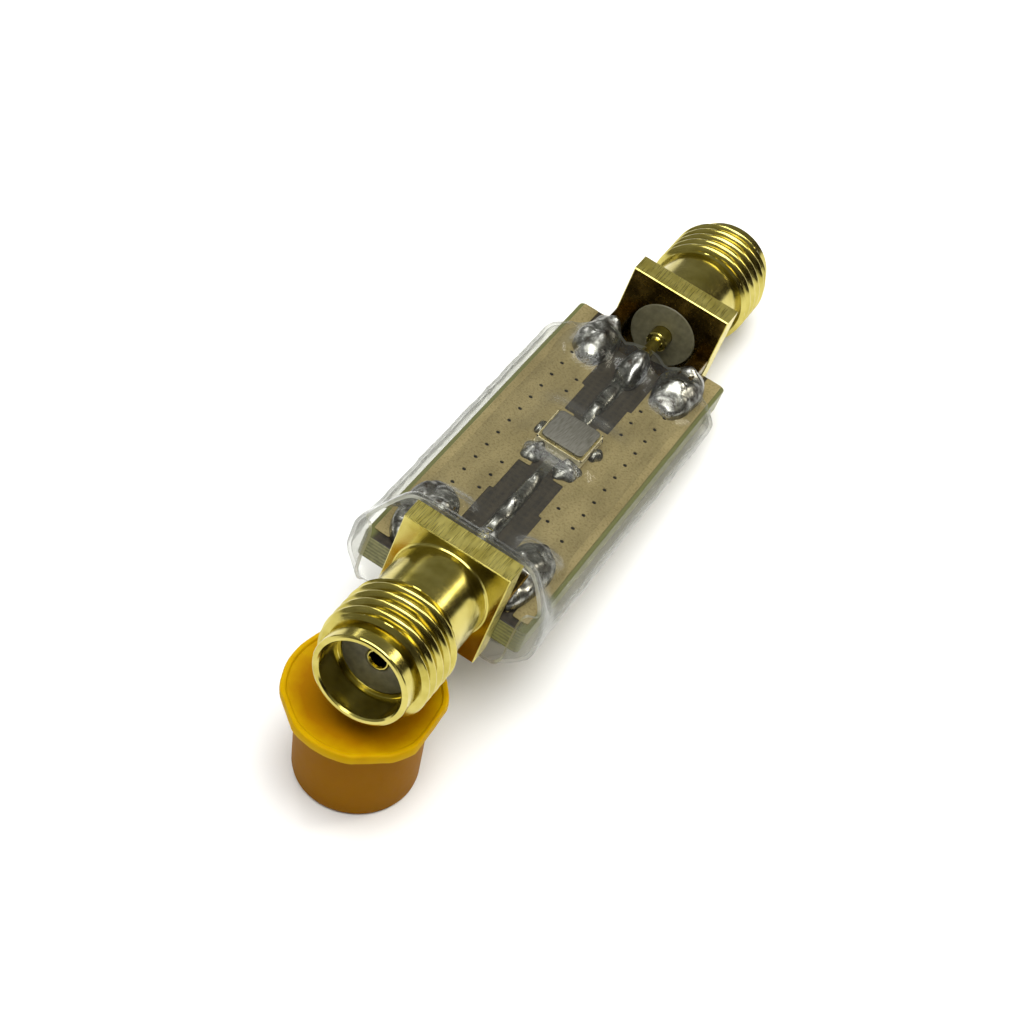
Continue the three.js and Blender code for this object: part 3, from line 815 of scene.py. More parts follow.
def plate(bm: BMesh, points: Sequence[tuple[float, float]], low: float, high: float) -> list[BMEdge]:
    """A flat plate over an outline.

    Args:
        bm: the mesh that gets it.
        points: the outline's corners, as (x, y), in order.
        low: height of its underside.
        high: height of its top.

    Returns:
        The plate's upright edges, one at each corner.
    """
    face = bm.faces.new([bm.verts.new((x, y, low)) for x, y in points])
    made = bmesh.ops.extrude_face_region(bm, geom=[face], use_keep_orig=True)["geom"]
    tops = [item for item in made if isinstance(item, BMVert)]
    bmesh.ops.translate(bm, verts=tops, vec=(0, 0, high - low))
    return [edge for vert in tops for edge in vert.link_edges
            if abs(edge.verts[0].co.z - edge.verts[1].co.z) > (high - low) / 2]


def open_edges(bm: BMesh, y: float) -> list[BMEdge]:
    """The open edges that lie in the plane at a place along Y."""
    return [edge for edge in bm.edges if len(edge.link_faces) < 2
            and all(abs(vert.co.y - y) < 1e-3 for vert in edge.verts)]


def wander(point: Vector, size: float, seed: float) -> float:
    """Smooth noise from -1 to 1 at a point.

    Args:
        point: the place, in millimetres.
        size: how far apart its swells are, in millimetres.
        seed: picks one of many patterns.

    Returns:
        The noise.
    """
    return noise.noise(point / size + Vector((seed, 1.7 * seed, 2.3 * seed)))


def smooth_step(value: float, low: float, high: float) -> float:
    """0 below low, 1 above high, and a smooth rise between them."""
    share = min(1.0, max(0.0, (value - low) / (high - low)))
    return share * share * (3 - 2 * share)


# ------------------------------------------------------------------ jack


@dataclass
class Jack:
    """One edge-launch jack: plated body, insulator and centre contact. Mating end along +Y."""

    end: End
    space: Space
    flange_side: float = 6.35
    flange_thick: float = 1.55
    neck_radius: float = 2.7
    neck_fillet: float = 0.12
    thread_start: float = 5.15
    thread_end: float = 8.678
    crest_radius: float = 3.175
    root_radius: float = 2.66
    tooth_steps: int = 16
    tooth_round: float = 2.1  # 1 is a plain V, and higher is a fuller crest
    thread_pitch: float = 0.7056
    run_in: float = 1.4  # turns that the helix starts early, so that the cut leaves a full tooth
    lead_in: float = 0.3
    lead_depth: float = 0.35  # share of the tooth left at the thread's very ends
    root_lift: float = 0.03
    groove_radius: float = 2.48
    groove_width: float = 0.26
    lead_radius: float = 2.667
    tip: float = 9.778
    bore_radius: float = 2.3
    bore_floor: float = 7.878
    insulator_radius: float = 2.05
    ptfe_proud: float = 0.03
    contact_radius: float = 0.635
    socket_radius: float = 0.46
    socket_depth: float = 2.6
    shoulder: float = 0.9
    pin_radius: float = 0.38
    pin_length: float = 4.2
    leg_width: float = 1.0
    leg_length: float = 4.2
    leg_margin: float = 0.05
    leg_round: float = 0.08
    round: float = 0.05
    hair: float = 0.01  # how near a plane a face counts as in it

    @property
    def label(self) -> str:
        """The end's name in pieces and nodes."""
        return self.end.name.lower()

    def build(self) -> None:
        """Makes the jack's three pieces."""
        self.make_body()
        self.make_insulator()
        self.make_contact()

    def cut_thread(self, bm: BMesh) -> None:
        """A right-hand thread: one tooth swept along its helix, cut square at both ends.

        Args:
            bm: the empty mesh that gets the thread's skin.
        """
        shares = [i / self.tooth_steps for i in range(self.tooth_steps + 1)]
        tooth = [(share, 1 - abs(2 * share - 1) ** self.tooth_round) for share in shares]
        depth = self.crest_radius - self.root_radius
        low = self.thread_start - self.run_in * self.thread_pitch
        turns = math.ceil((self.thread_end - low) / self.thread_pitch) + 1
        verts = [bm.verts.new((self.root_radius + depth * up, low - self.thread_pitch * (1 - along), 0))
                 for along, up in tooth]
        edges = [bm.edges.new(pair) for pair in zip(verts, verts[1:])]
        bmesh.ops.spin(bm, geom=verts + edges, cent=(0, 0, 0), axis=(0, 1, 0),
                       dvec=(0, self.thread_pitch / ROUND, 0), angle=math.tau * turns,
                       steps=ROUND * turns, use_merge=False)
        bmesh.ops.remove_doubles(bm, verts=bm.verts, dist=1e-3)
        for level, side in ((self.thread_start, -1), (self.thread_end, 1)):
            bmesh.ops.bisect_plane(bm, geom=bm.verts[:] + bm.edges[:] + bm.faces[:], dist=CUT,
                                   plane_co=(0, level, 0), plane_no=(0, side, 0), clear_outer=True)
        for vert in bm.verts:
            inside = min(vert.co.y - self.thread_start, self.thread_end - vert.co.y)
            share = min(1.0, inside / self.lead_in + self.lead_depth)
            limit = self.root_radius + self.root_lift + depth * share
            radius = math.hypot(vert.co.x, vert.co.z)
            if radius > limit:
                vert.co.x *= limit / radius
                vert.co.z *= limit / radius

    def square(self, bm: BMesh, level: float, half: float) -> list[BMEdge]:
        """A square outline of the flange with as many edges as the turned parts.

        Args:
            bm: the mesh that gets it.
            level: its place along the jack.
            half: half its side.

        Returns:
            Its edges.
        """
        place = Matrix.Translation((0, level, 0)) @ Matrix.Rotation(math.pi / 2, 4, "X")
        place = place @ Matrix.Rotation(math.pi / 4, 4, "Z")
        verts = bmesh.ops.create_circle(bm, segments=4, radius=half * math.sqrt(2),
                                        matrix=place)["verts"]
        edges = list({edge for vert in verts for edge in vert.link_edges})
        cut = bmesh.ops.subdivide_edges(bm, edges=edges, cuts=ROUND // 4 - 1)
        return [item for item in cut["geom_split"] if isinstance(item, BMEdge)]

    def make_body(self) -> None:
        """Flange, threaded barrel and legs."""
        bm = bmesh.new()
        self.cut_thread(bm)
        neck, lead, tip = self.neck_radius, self.lead_radius, self.tip
        lathe(bm, [
            (neck + self.neck_fillet, self.flange_thick),
            (neck + self.neck_fillet / 3, self.flange_thick + self.neck_fillet / 3),
            (neck, self.flange_thick + self.neck_fillet),
            (neck, self.thread_start),
        ])
        lathe(bm, [
            (self.groove_radius, self.thread_end),
            (self.groove_radius, self.thread_end + self.groove_width),
            (lead, self.thread_end + self.groove_width + 0.08), (lead, tip - 0.1),
            (lead - 0.03, tip - 0.04),
            (lead - 0.12, tip), (self.bore_radius + 0.08, tip), (self.bore_radius, tip - 0.1),
            (self.bore_radius, self.bore_floor + 0.03), (self.bore_radius - 0.03, self.bore_floor),
            (self.insulator_radius + 0.05, self.bore_floor),
            (self.insulator_radius + FIT, self.bore_floor - 0.05), (self.insulator_radius + FIT, 0),
        ])
        half, thick = self.flange_side / 2, self.flange_thick
        loops = [self.square(bm, level, side) for level, side in (
            (0.0, half - self.round), (self.round, half), (thick - self.round, half),
            (thick, half - self.round))]
        for first, second in zip(loops, loops[1:]):
            bmesh.ops.bridge_loops(bm, edges=first + second)
        for level in (self.thread_start, self.thread_end):
            bmesh.ops.bridge_loops(bm, edges=open_edges(bm, level))
        bmesh.ops.remove_doubles(bm, verts=bm.verts, dist=MERGE)
        for level in (0.0, thick):
            bmesh.ops.triangle_fill(bm, use_beauty=True, use_dissolve=False, normal=(0, 1, 0),
                                    edges=open_edges(bm, level))
        bm.normal_update()
        for face in bm.faces:
            centre = face.calc_center_median()
            outer = max(abs(centre.x), abs(centre.z)) > half - self.hair
            back = centre.y < self.hair
            # faces on the flange's back get the painted dark reflection
            face.material_index = 1 if outer and centre.y < thick else 2 if back else 0
        low = self.space.box(f"{self.label}_jack_body")[0]
        board_low, board_high = self.space.box("ground_copper")
        inner = self.flange_side / 2 - self.leg_width
        outer = self.flange_side / 2 - self.leg_margin
        for side in (-1, 1):
            for bottom, top in ((board_high.z + FIT, board_high.z + FIT + self.leg_width),
                                (low.z + self.round, board_low.z - FIT)):
                block(bm, (min(side * inner, side * outer), -self.leg_length, bottom),
                      (max(side * inner, side * outer), self.flange_thick / 3, top), self.leg_round)
        # the legs get the painted dark reflection too
        for face in bm.faces:
            if face.calc_center_median().y < -self.hair:
                face.material_index = 2
        finish_piece(bm, f"{self.label}_jack_shell", self.space,
                     [PlatedBrass(), MILLED_BRASS, SHADED_BACK_BRASS],
                     [f"{self.label}_jack_body"])

    def make_insulator(self) -> None:
        """PTFE tube, slightly domed where the bore shows it."""
        bm = bmesh.new()
        inner = self.contact_radius + FIT
        lathe(bm, [
            (inner, -self.ptfe_proud), (self.insulator_radius - 0.05, -self.ptfe_proud),
            (self.insulator_radius, 0.04),
            (self.insulator_radius, self.bore_floor - 0.06),
            (self.insulator_radius - 0.06, self.bore_floor), (inner + 0.06, self.bore_floor),
            (inner, self.bore_floor - 0.06), (inner, -self.ptfe_proud),
        ])
        finish_piece(bm, f"{self.label}_jack_ptfe", self.space, [Ptfe()],
                     [f"{self.label}_jack_insulator"])

    def make_contact(self) -> None:
        """Centre contact: socket with a chamfered mouth, shoulder, and a pin with a bullet end."""
        bm = bmesh.new()
        face = self.bore_floor + 0.03
        lathe(bm, [
            (0, -self.pin_length), (self.pin_radius * 0.6, -self.pin_length + 0.03),
            (self.pin_radius, -self.pin_length + 0.22), (self.pin_radius, -self.shoulder - 0.12),
            (self.pin_radius + 0.04, -self.shoulder - 0.04),
            (self.contact_radius - 0.05, -self.shoulder),
            (self.contact_radius, -self.shoulder + 0.05), (self.contact_radius, face - 0.06),
            (self.contact_radius - 0.06, face), (self.socket_radius + 0.06, face),
            (self.socket_radius, face - 0.12), (self.socket_radius, face - self.socket_depth),
            (0, face - self.socket_depth - 0.2),
        ], steps=48)
        for mesh_face in bm.faces:
            centre = mesh_face.calc_center_median()
            # the faces inside the socket get the painted shade
            in_socket = math.hypot(centre.x, centre.z) < self.socket_radius and centre.y > 0
            mesh_face.material_index = int(in_socket)
        finish_piece(bm, f"{self.label}_jack_socket", self.space, [PlatedBrass(), SHADED_SOCKET_BRASS],
                     [f"{self.label}_jack_contact"])


# ------------------------------------------------------------------ board


@dataclass
class Board:
    """Laminate, ground copper with its vias, and the two tinned traces."""

    space: Space
    notch_half_width: float = 3.25
    notch_depth: float = 2.2
    corner: float = 0.3
    margin: float = 0.25
    end_margin: float = 0.1
    copper: float = 0.05
    wide_lane: float = 1.68
    narrow_lane: float = 1.45
    pad_lane: float = 0.75
    near_step: float = -5.0
    far_step: float = 6.5
    pad_near: float = -1.9
    pad_far: float = 3.8
    slot: tuple[float, float] = (3.55, 3.8)
    finger_tip: float = 0.55
    via_radius: float = 0.12
    via_wall: float = 0.04
    via_pitch: float = 1.345
    via_sides: int = 16
    via_middle: float = 0.5
    long_row: float = 8.0
    short_row: float = 6.8
    pad_clear: tuple[float, float] = (0.8, 0.2)  # bare stretch of a short row before and past the pad
    via_rows: tuple = (  # place across, place of one via along, whether it is a short row
        (-3.33, -0.95, False), (3.33, -0.35, False), (-2.03, -0.2, True), (2.03, -0.95, True))
    trace_half: float = 0.45
    trace_neck: float = 0.31
    neck_from: float = 5.5
    trace_end: float = 0.6
    drill_length: float = 6.0
    core_break: float = 0.04
    foil_corner: float = 0.09
    foil_break: float = 0.015
    low: Vector = field(init=False)
    high: Vector = field(init=False)
    copper_low: Vector = field(init=False)
    copper_high: Vector = field(init=False)

    def __post_init__(self) -> None:
        """Reads the laminate's and the copper's own boxes from the frame."""
        self.low, self.high = self.space.box("board_core")
        self.copper_low, self.copper_high = self.space.box("ground_copper")

    @property
    def notch_edge(self) -> float:
        """How far from the middle the notches' floors lie."""
        return self.high.y - self.notch_depth

    def build(self) -> None:
        """Makes the board's pieces."""
        self.make_laminate()
        self.make_copper()
        for end in End:
            self.make_trace(end)

    def vias(self) -> list[tuple[float, float]]:
        """Where the vias are: two full rows, and two short ones beside the lane.

        Returns:
            Their centres, as (x, y).
        """
        centres = []
        for x, first, short in self.via_rows:
            count = int(2 * self.notch_edge / self.via_pitch)
            for i in range(-count, count + 1):
                y = first + i * self.via_pitch
                limit = self.short_row if short else self.long_row
                before, past = self.pad_clear
                beside = short and self.pad_near - before < y < self.pad_far + past
                if abs(y - self.via_middle) < limit and not beside:
                    centres.append((x, y))
        return centres

    def drill(self, piece: bpy.types.Object, radius: float) -> None:
        """Drills a piece at every via and keeps the result as its mesh.

        Args:
            piece: the piece, in its place.
            radius: the holes' radius, in millimetres.
        """
        bm = bmesh.new()
        for x, y in self.vias():
            bmesh.ops.create_cone(bm, cap_ends=True, segments=self.via_sides, radius1=radius,
                                  radius2=radius, depth=self.drill_length,
                                  matrix=Matrix.Translation((x, y, self.low.z)))
        bm.transform(self.space.matrix)
        mesh = bpy.data.meshes.new("drills")
        bm.to_mesh(mesh)
        bm.free()
        drills = bpy.data.objects.new("drills", mesh)
        bpy.context.scene.collection.objects.link(drills)
        cut = piece.modifiers.new("drill", "BOOLEAN")
        cut.operation = "DIFFERENCE"
        cut.solver = "EXACT"
        cut.object = drills
        graph = bpy.context.evaluated_depsgraph_get()
        drilled = bpy.data.meshes.new_from_object(piece.evaluated_get(graph))
        piece.modifiers.clear()
        piece.data = drilled
        bpy.data.objects.remove(drills)

    def make_laminate(self) -> None:
        """Glass-epoxy core with a notch at each end."""
        bm = bmesh.new()
        x, y = self.high.x, self.high.y
        middle = (self.low.x + self.high.x) / 2
        half = x - middle
        points = []
        for end in (1, -1):
            points += [(end * half, end * y), (end * self.notch_half_width, end * y),
                       (end * self.notch_half_width, end * self.notch_edge),
                       (-end * self.notch_half_width, end * self.notch_edge),
                       (-end * self.notch_half_width, end * y), (-end * half, end * y)]
        upright = plate(bm, points, self.low.z, self.high.z)
        corners = [edge for edge in upright if abs(edge.verts[0].co.x) > half - 0.1]
        round_edges(bm, corners, self.corner, 4)
        rims = [edge for edge in bm.edges if edge.calc_face_angle(0.0) > 1.0
                and abs(edge.verts[0].co.z - edge.verts[1].co.z) < 0.01]
        round_edges(bm, rims, self.core_break, 1)
        for face in bm.faces:
            face.material_index = int(abs(face.normal.z) < 0.5)
        piece = finish_piece(bm, "board_laminate", self.space, [GlassEpoxy(), SAWN_EPOXY],
                             ["board_core"])
        self.drill(piece, self.via_radius + self.via_wall)

    def pour_outline(self, hand: Hand) -> list[tuple[float, float]]:
        """Corners of one top pour, with its fingers beside the notches.

        Args:
            hand: which side of the board it is on.

        Returns:
            The corners, as (x, y).
        """
        edge = self.high.x - (self.low.x + self.high.x) / 2 - self.margin
        far, notch = self.high.y - self.end_margin, self.notch_edge - self.end_margin
        inner = self.notch_half_width + self.end_margin
        slot_end = self.notch_edge + self.end_margin
        finger = [(self.slot[1], far), (self.slot[1], slot_end), (self.slot[0], slot_end),
                  (self.slot[0], far), (inner, far), (inner, notch), (self.wide_lane, notch)]
        tip = -(far - self.finger_tip)
        near_finger = [(self.wide_lane, -notch), (inner, -notch), (inner, tip), (self.slot[0], tip),
                       (self.slot[0], -slot_end), (self.slot[1], -slot_end), (self.slot[1], tip)]
        points = [(edge, tip), (edge, far), *finger, (self.wide_lane, self.far_step),
                  (self.narrow_lane, self.far_step), (self.narrow_lane, self.pad_far),
                  (self.pad_lane, self.pad_far), (self.pad_lane, self.pad_near),
                  (self.narrow_lane, self.pad_near), (self.narrow_lane, self.near_step),
                  (self.wide_lane, self.near_step), *near_finger]
        return [(hand.value * x, y) for x, y in points]

    def make_copper(self) -> None:
        """Two top pours, the bottom plane, and the vias' plated barrels."""
        bm = bmesh.new()
        top, bottom = self.copper_high.z, self.copper_low.z
        for hand in Hand:
            upright = plate(bm, self.pour_outline(hand), top - self.copper, top)
            round_edges(bm, upright, self.foil_corner, 3)
        edge = self.high.x - (self.low.x + self.high.x) / 2 - self.margin
        plate(bm, [(edge, -self.notch_edge), (edge, self.notch_edge), (-edge, self.notch_edge),
                   (-edge, -self.notch_edge)], bottom, bottom + self.copper)
        rims = [e for e in bm.edges if e.calc_face_angle(0.0) > 1.0
                and min(v.co.z for v in e.verts) > top - 0.001]
        round_edges(bm, rims, self.foil_break, 1)
        for x, y in self.vias():
            bmesh.ops.create_cone(bm, cap_ends=True, segments=self.via_sides,
                                  radius1=self.via_radius + self.via_wall,
                                  radius2=self.via_radius + self.via_wall, depth=top - bottom - FIT,
                                  matrix=Matrix.Translation((x, y, (top + bottom) / 2)))
        piece = finish_piece(bm, "board_copper", self.space, [BoardCopper()],
                             ["ground_copper"])
        self.drill(piece, self.via_radius)

    def make_trace(self, end: End) -> None:
        """One trace, from the notch to its pad under the filter.

        Args:
            end: the end that it runs to.
        """
        bm = bmesh.new()
        top = self.copper_high.z
        package = self.space.box("filter_package")
        start = end.value * (self.notch_edge - self.end_margin)
        pad = (package[0].y if end is End.NEAR else package[1].y) - end.value * self.trace_end
        neck = end.value * self.neck_from
        step = end.value * (self.trace_half - self.trace_neck)
        right = [(self.trace_half, start), (self.trace_half, neck + step), (self.trace_neck, neck),
                 (self.trace_neck, pad)]
        outline = right + [(-x, y) for x, y in reversed(right)]
        plate(bm, outline, top - self.copper, top)
        finish_piece(bm, f"{end.name.lower()}_trace_foil", self.space, [TinLeadSolder()],
                     [f"{end.name.lower()}_trace"])


# ------------------------------------------------------------------ solder


@dataclass
class Peak:
    """A swelling on a solder pool, from the pool's centre.

    Attributes:
        x: its place across.
        y: its place along.
        reach: how far it spreads.
        rise: how much it adds to the height.
    """

    x: float
    y: float
    reach: float
    rise: float


@dataclass
class Pool:
    """A lump of solder on the board: a domed puddle with swellings and a wandering outline."""

    name: str
    nodes: tuple[str, ...]
    centre: tuple[float, float]
    half: tuple[float, float]
    height: float
    peaks: tuple[Peak, ...] = ()
    fullness: float = 0.55  # the lower, the flatter its top
    wobble: float = 0.2
    lumps: float = 0.16
    seed: float = 1.0
    underside: bool = False

    def build(self, space: Space, level: float) -> None:
        """Makes the lump.

        Args:
            space: the axes that its place is given in.
            level: height of the copper that it sits on.
        """
        bm = bmesh.new()
        bmesh.ops.create_uvsphere(bm, u_segments=56, v_segments=36, radius=1.0)
        bmesh.ops.bisect_plane(bm, geom=bm.verts[:] + bm.edges[:] + bm.faces[:], dist=CUT,
                               plane_co=(0, 0, 0), plane_no=(0, 0, 1), clear_inner=True)
        bmesh.ops.holes_fill(bm, edges=[e for e in bm.edges if e.is_boundary], sides=0)
        for vert in bm.verts:
            self.shape(vert)
        flip = -1 if self.underside else 1
        place = Matrix.Translation((*self.centre, level))
        bmesh.ops.transform(bm, matrix=place @ Matrix.Diagonal((1, 1, flip, 1)), verts=bm.verts)
        finish_piece(bm, self.name, space, [TinLeadSolder()], self.nodes, crease=60.0)

    def shape(self, vert: BMVert) -> None:
        """Moves one vertex of a unit dome to its place on the lump.

        Args:
            vert: the vertex.
        """
        spread = math.hypot(vert.co.x, vert.co.y)
        way = Vector((vert.co.x, vert.co.y, 0)).normalized() if spread > 1e-6 else Vector()
        ragged = 1 + self.wobble * wander(way, 0.8, self.seed)  # a few bays round the outline
        x = vert.co.x * self.half[0] * ragged
        y = vert.co.y * self.half[1] * ragged
        dome = self.height * max(0.0, 1 - min(1.0, spread) ** 2) ** self.fullness
        skirt = 1 - min(1.0, spread) ** 6
        for peak in self.peaks:
            away = ((x - peak.x) ** 2 + (y - peak.y) ** 2) / peak.reach ** 2
            dome += peak.rise * math.exp(-away) * skirt
        dome *= 1 + self.lumps * wander(Vector((x, y, 0)), 0.7, self.seed + 3)  # lumps 0.7 mm across
        vert.co = (x, y, dome if vert.co.z > CUT else 0.0)


@dataclass
class SolderWork:
    """All the hand soldering: jack legs, centre pins and the filter's pads."""

    space: Space
    film: float = 0.005  # how far the lumps' feet stand off the copper, so that no faces coincide

    def build(self) -> None:
        """Makes every lump."""
        low, high = self.space.box("ground_copper")
        deck = high.z + self.film
        belly = low.z - self.film
        for pool in self.top_pools():
            pool.build(self.space, deck)
        for pool in self.bottom_pools():
            pool.build(self.space, belly)

    def top_pools(self) -> list[Pool]:
        """The lumps on the top face.

        Returns:
            The lumps, with the legs, pins and traces first and the filter's pads last.
        """
        return [
            Pool("far_left_leg_solder", ("far_left_leg_joint_top",), (-2.85, 10.35), (1.15, 2.15),
                 1.1, (Peak(0.2, 1.45, 0.6, 0.4), Peak(0.15, -0.6, 0.8, 0.3)), 0.24, seed=1.0),
            Pool("far_right_leg_solder", ("far_right_leg_joint_top",), (2.85, 10.0), (1.45, 2.4),
                 0.95, (Peak(-0.3, 1.8, 0.6, 0.45), Peak(-0.2, -0.3, 0.9, 0.35)), 0.26, seed=2.0),
            Pool("far_pin_solder", ("far_pin_joint",), (-0.04, 9.6), (0.85, 1.55), 0.85,
                 (Peak(0.04, 0.0, 1.0, 0.62), Peak(0.04, 0.9, 0.6, 0.25)), 0.32, seed=3.0),
            Pool("far_trace_solder", ("filter_joint_output",), (-0.22, 6.1), (0.42, 2.7), 0.2,
                 (Peak(0.0, -1.1, 0.5, 0.24), Peak(0.05, 1.2, 0.6, 0.1)), wobble=0.2, seed=4.0),
            Pool("near_trace_solder", ("filter_joint_input",), (-0.25, -5.2), (0.42, 3.6), 0.24,
                 (Peak(0.0, -0.2, 0.5, 0.3), Peak(0.0, 2.6, 0.4, 0.22), Peak(0.0, -2.0, 0.5, 0.1)),
                 wobble=0.22, seed=5.0),
            Pool("near_pin_solder", ("near_pin_joint",), (-0.02, -9.7), (0.85, 1.5), 0.85,
                 (Peak(0.0, 0.0, 1.0, 0.5), Peak(0.0, -0.9, 0.6, 0.25)), 0.32, seed=6.0),
            Pool("near_left_leg_solder", ("near_left_leg_joint_top",), (-3.35, -9.75), (1.5, 2.65),
                 0.95, (Peak(0.6, 0.3, 0.9, 0.35), Peak(-0.95, 1.4, 0.4, 0.2)), 0.26, 0.18, seed=7.0),
            Pool("near_right_leg_solder", ("near_right_leg_joint_top",), (2.75, -9.8), (1.25, 2.65),
                 0.95, (Peak(-0.1, 0.4, 0.9, 0.35),), 0.26, seed=8.0),
            Pool("filter_solder_near_left", ("filter_joint_near_left",), (-1.35, -0.75), (0.62, 0.95),
                 0.34, (Peak(-0.1, -0.3, 0.35, 0.3), Peak(0.2, 0.45, 0.35, 0.3)), wobble=0.3, seed=9.0),
            Pool("filter_solder_near_right", ("filter_joint_near_right",), (0.82, -0.72), (0.72, 0.95),
                 0.34, (Peak(-0.25, 0.3, 0.35, 0.3), Peak(0.25, -0.3, 0.35, 0.28)), wobble=0.3,
                 seed=10.0),
            Pool("filter_solder_mid_left", ("filter_joint_mid_left",), (-1.93, 1.25), (0.26, 0.62),
                 0.34, wobble=0.3, seed=11.0),
            Pool("filter_solder_mid_right", ("filter_joint_mid_right",), (1.48, 1.6), (0.34, 0.62),
                 0.4, wobble=0.3, seed=12.0),
            Pool("filter_solder_far_left", ("filter_joint_far_left",), (-1.35, 2.98), (0.42, 0.32),
                 0.3, seed=13.0),
            Pool("filter_solder_far_right", ("filter_joint_far_right",), (0.85, 2.98), (0.42, 0.34),
                 0.3, seed=14.0),
        ]

    def bottom_pools(self) -> list[Pool]:
        """The lumps on the underside's four legs.

        Returns:
            The four lumps.
        """
        pools = []
        for end in End:
            for hand in Hand:
                place = f"{end.name.lower()}_{hand.name.lower()}_leg"
                pools.append(Pool(
                    f"{place}_solder_below", (f"{place}_joint_bottom",),
                    (hand.value * 2.7, end.value * 9.7), (1.05, 1.2), 0.4,
                    (Peak(0.0, end.value * 0.5, 0.6, 0.25),), underside=True,
                    seed=20.0 + end.value + 3 * hand.value))
        return pools


# ------------------------------------------------------------------ filter


@dataclass
class CeramicFilter:
    """The surface-mount filter: ceramic tray, brazed ring and welded lid."""

    space: Space
    layer: float = 0.18
    layer_corner: float = 0.06
    wall: float = 0.4
    wall_inset: float = 0.02
    wall_corner: float = 0.12
    rim: float = 0.3
    rim_corner: float = 0.25
    lid_corner: float = 0.32
    lid_edge: float = 0.12
    lid_step: float = 0.03

    def build(self) -> None:
        """Makes the filter's pieces and dresses its crystal."""
        self.make_tray()
        self.make_ring()
        self.make_lid()
        crystal = frame["nodes"]["filter_die"]
        crystal.data.materials.clear()
        crystal.data.materials.append(LithiumTantalate().material(self.space))

    def frame_plate(self, bm: BMesh, low: Vector, high: Vector, inset: float, wall: float,
                    corner: float) -> None:
        """A square plate with round corners, hollowed to a frame.

        Args:
            bm: the mesh that gets it.
            low: lowest corner of its box.
            high: highest corner of its box.
            inset: how far its sides stay inside the box.
            wall: width of the frame, or 0 for a full plate.
            corner: radius of the corners.
        """
        x0, y0, x1, y1 = low.x + inset, low.y + inset, high.x - inset, high.y - inset
        upright = plate(bm, [(x0, y0), (x1, y0), (x1, y1), (x0, y1)], low.z, high.z)
        round_edges(bm, upright, corner, 5)
        if wall:
            caps = [face for face in bm.faces if abs(face.normal.z) > FLAT]
            bmesh.ops.inset_region(bm, faces=caps, thickness=wall, use_even_offset=True)
            inner = [face for face in caps if face.is_valid]
            loops = list({edge for face in inner for edge in face.edges})
            bmesh.ops.delete(bm, geom=inner, context="FACES_ONLY")
            bmesh.ops.bridge_loops(bm, edges=loops)

    def make_tray(self) -> None:
        """Ceramic tray, a little proud at its lower layer, with its cavity."""
        bm = bmesh.new()
        low, high = self.space.box("filter_package")
        step = low.z + self.layer
        self.frame_plate(bm, low, Vector((high.x, high.y, step)), 0.0, 0.0, self.layer_corner)
        upper = bmesh.new()
        self.frame_plate(upper, Vector((low.x, low.y, step)), high, self.wall_inset, self.wall,
                         self.wall_corner)
        mesh = bpy.data.meshes.new("tray_wall")
        upper.to_mesh(mesh)
        upper.free()
        bm.from_mesh(mesh)
        bpy.data.meshes.remove(mesh)
        finish_piece(bm, "filter_tray", self.space, [Alumina()], ["filter_package"])

    def make_ring(self) -> None:
        """Gold-plated ring brazed round the cavity."""
        bm = bmesh.new()
        low, high = self.space.box("filter_seal_ring")
        self.frame_plate(bm, low, high, 0.0, self.rim, self.rim_corner)
        finish_piece(bm, "filter_ring", self.space, [BRAZED_GOLD],
                     ["filter_seal_ring"])

    def make_lid(self) -> None:
        """Thin stepped lid: its edge is rolled down where it was welded."""
        bm = bmesh.new()
        low, high = self.space.box("filter_lid")
        self.frame_plate(bm, low, high, 0.0, 0.0, self.lid_corner)
        top = [face for face in bm.faces if face.normal.z > FLAT]
        bmesh.ops.inset_region(bm, faces=top, thickness=self.lid_edge, use_even_offset=True)
        raised = list({vert for face in top for vert in face.verts})
        bmesh.ops.translate(bm, vec=(0, 0, self.lid_step), verts=raised)
        finish_piece(bm, "filter_cover", self.space, [RolledIronNickel()], ["filter_lid"])


# ------------------------------------------------------------------ sleeve


@dataclass
class Tent:
    """Something that holds the sleeve's film off the board.

    Attributes:
        x: its place across.
        y: its place along.
        half_x: half its width.
        half_y: half its length.
        height: how far it holds the film off.
        skirt: how far the film takes to come down from it.
    """

    x: float
    y: float
    half_x: float
    half_y: float
    height: float
    skirt: float = 1.1

    def lift(self, x: float, y: float) -> float:
        """How high the film is held at a place.

        Args:
            x: place across.
            y: place along.

        Returns:
            The height over the board.
        """
        across = max(0.0, abs(x - self.x) - self.half_x)
        along = max(0.0, abs(y - self.y) - self.half_y)
        return self.height * math.exp(-(math.hypot(across, along) / self.skirt) ** 2)


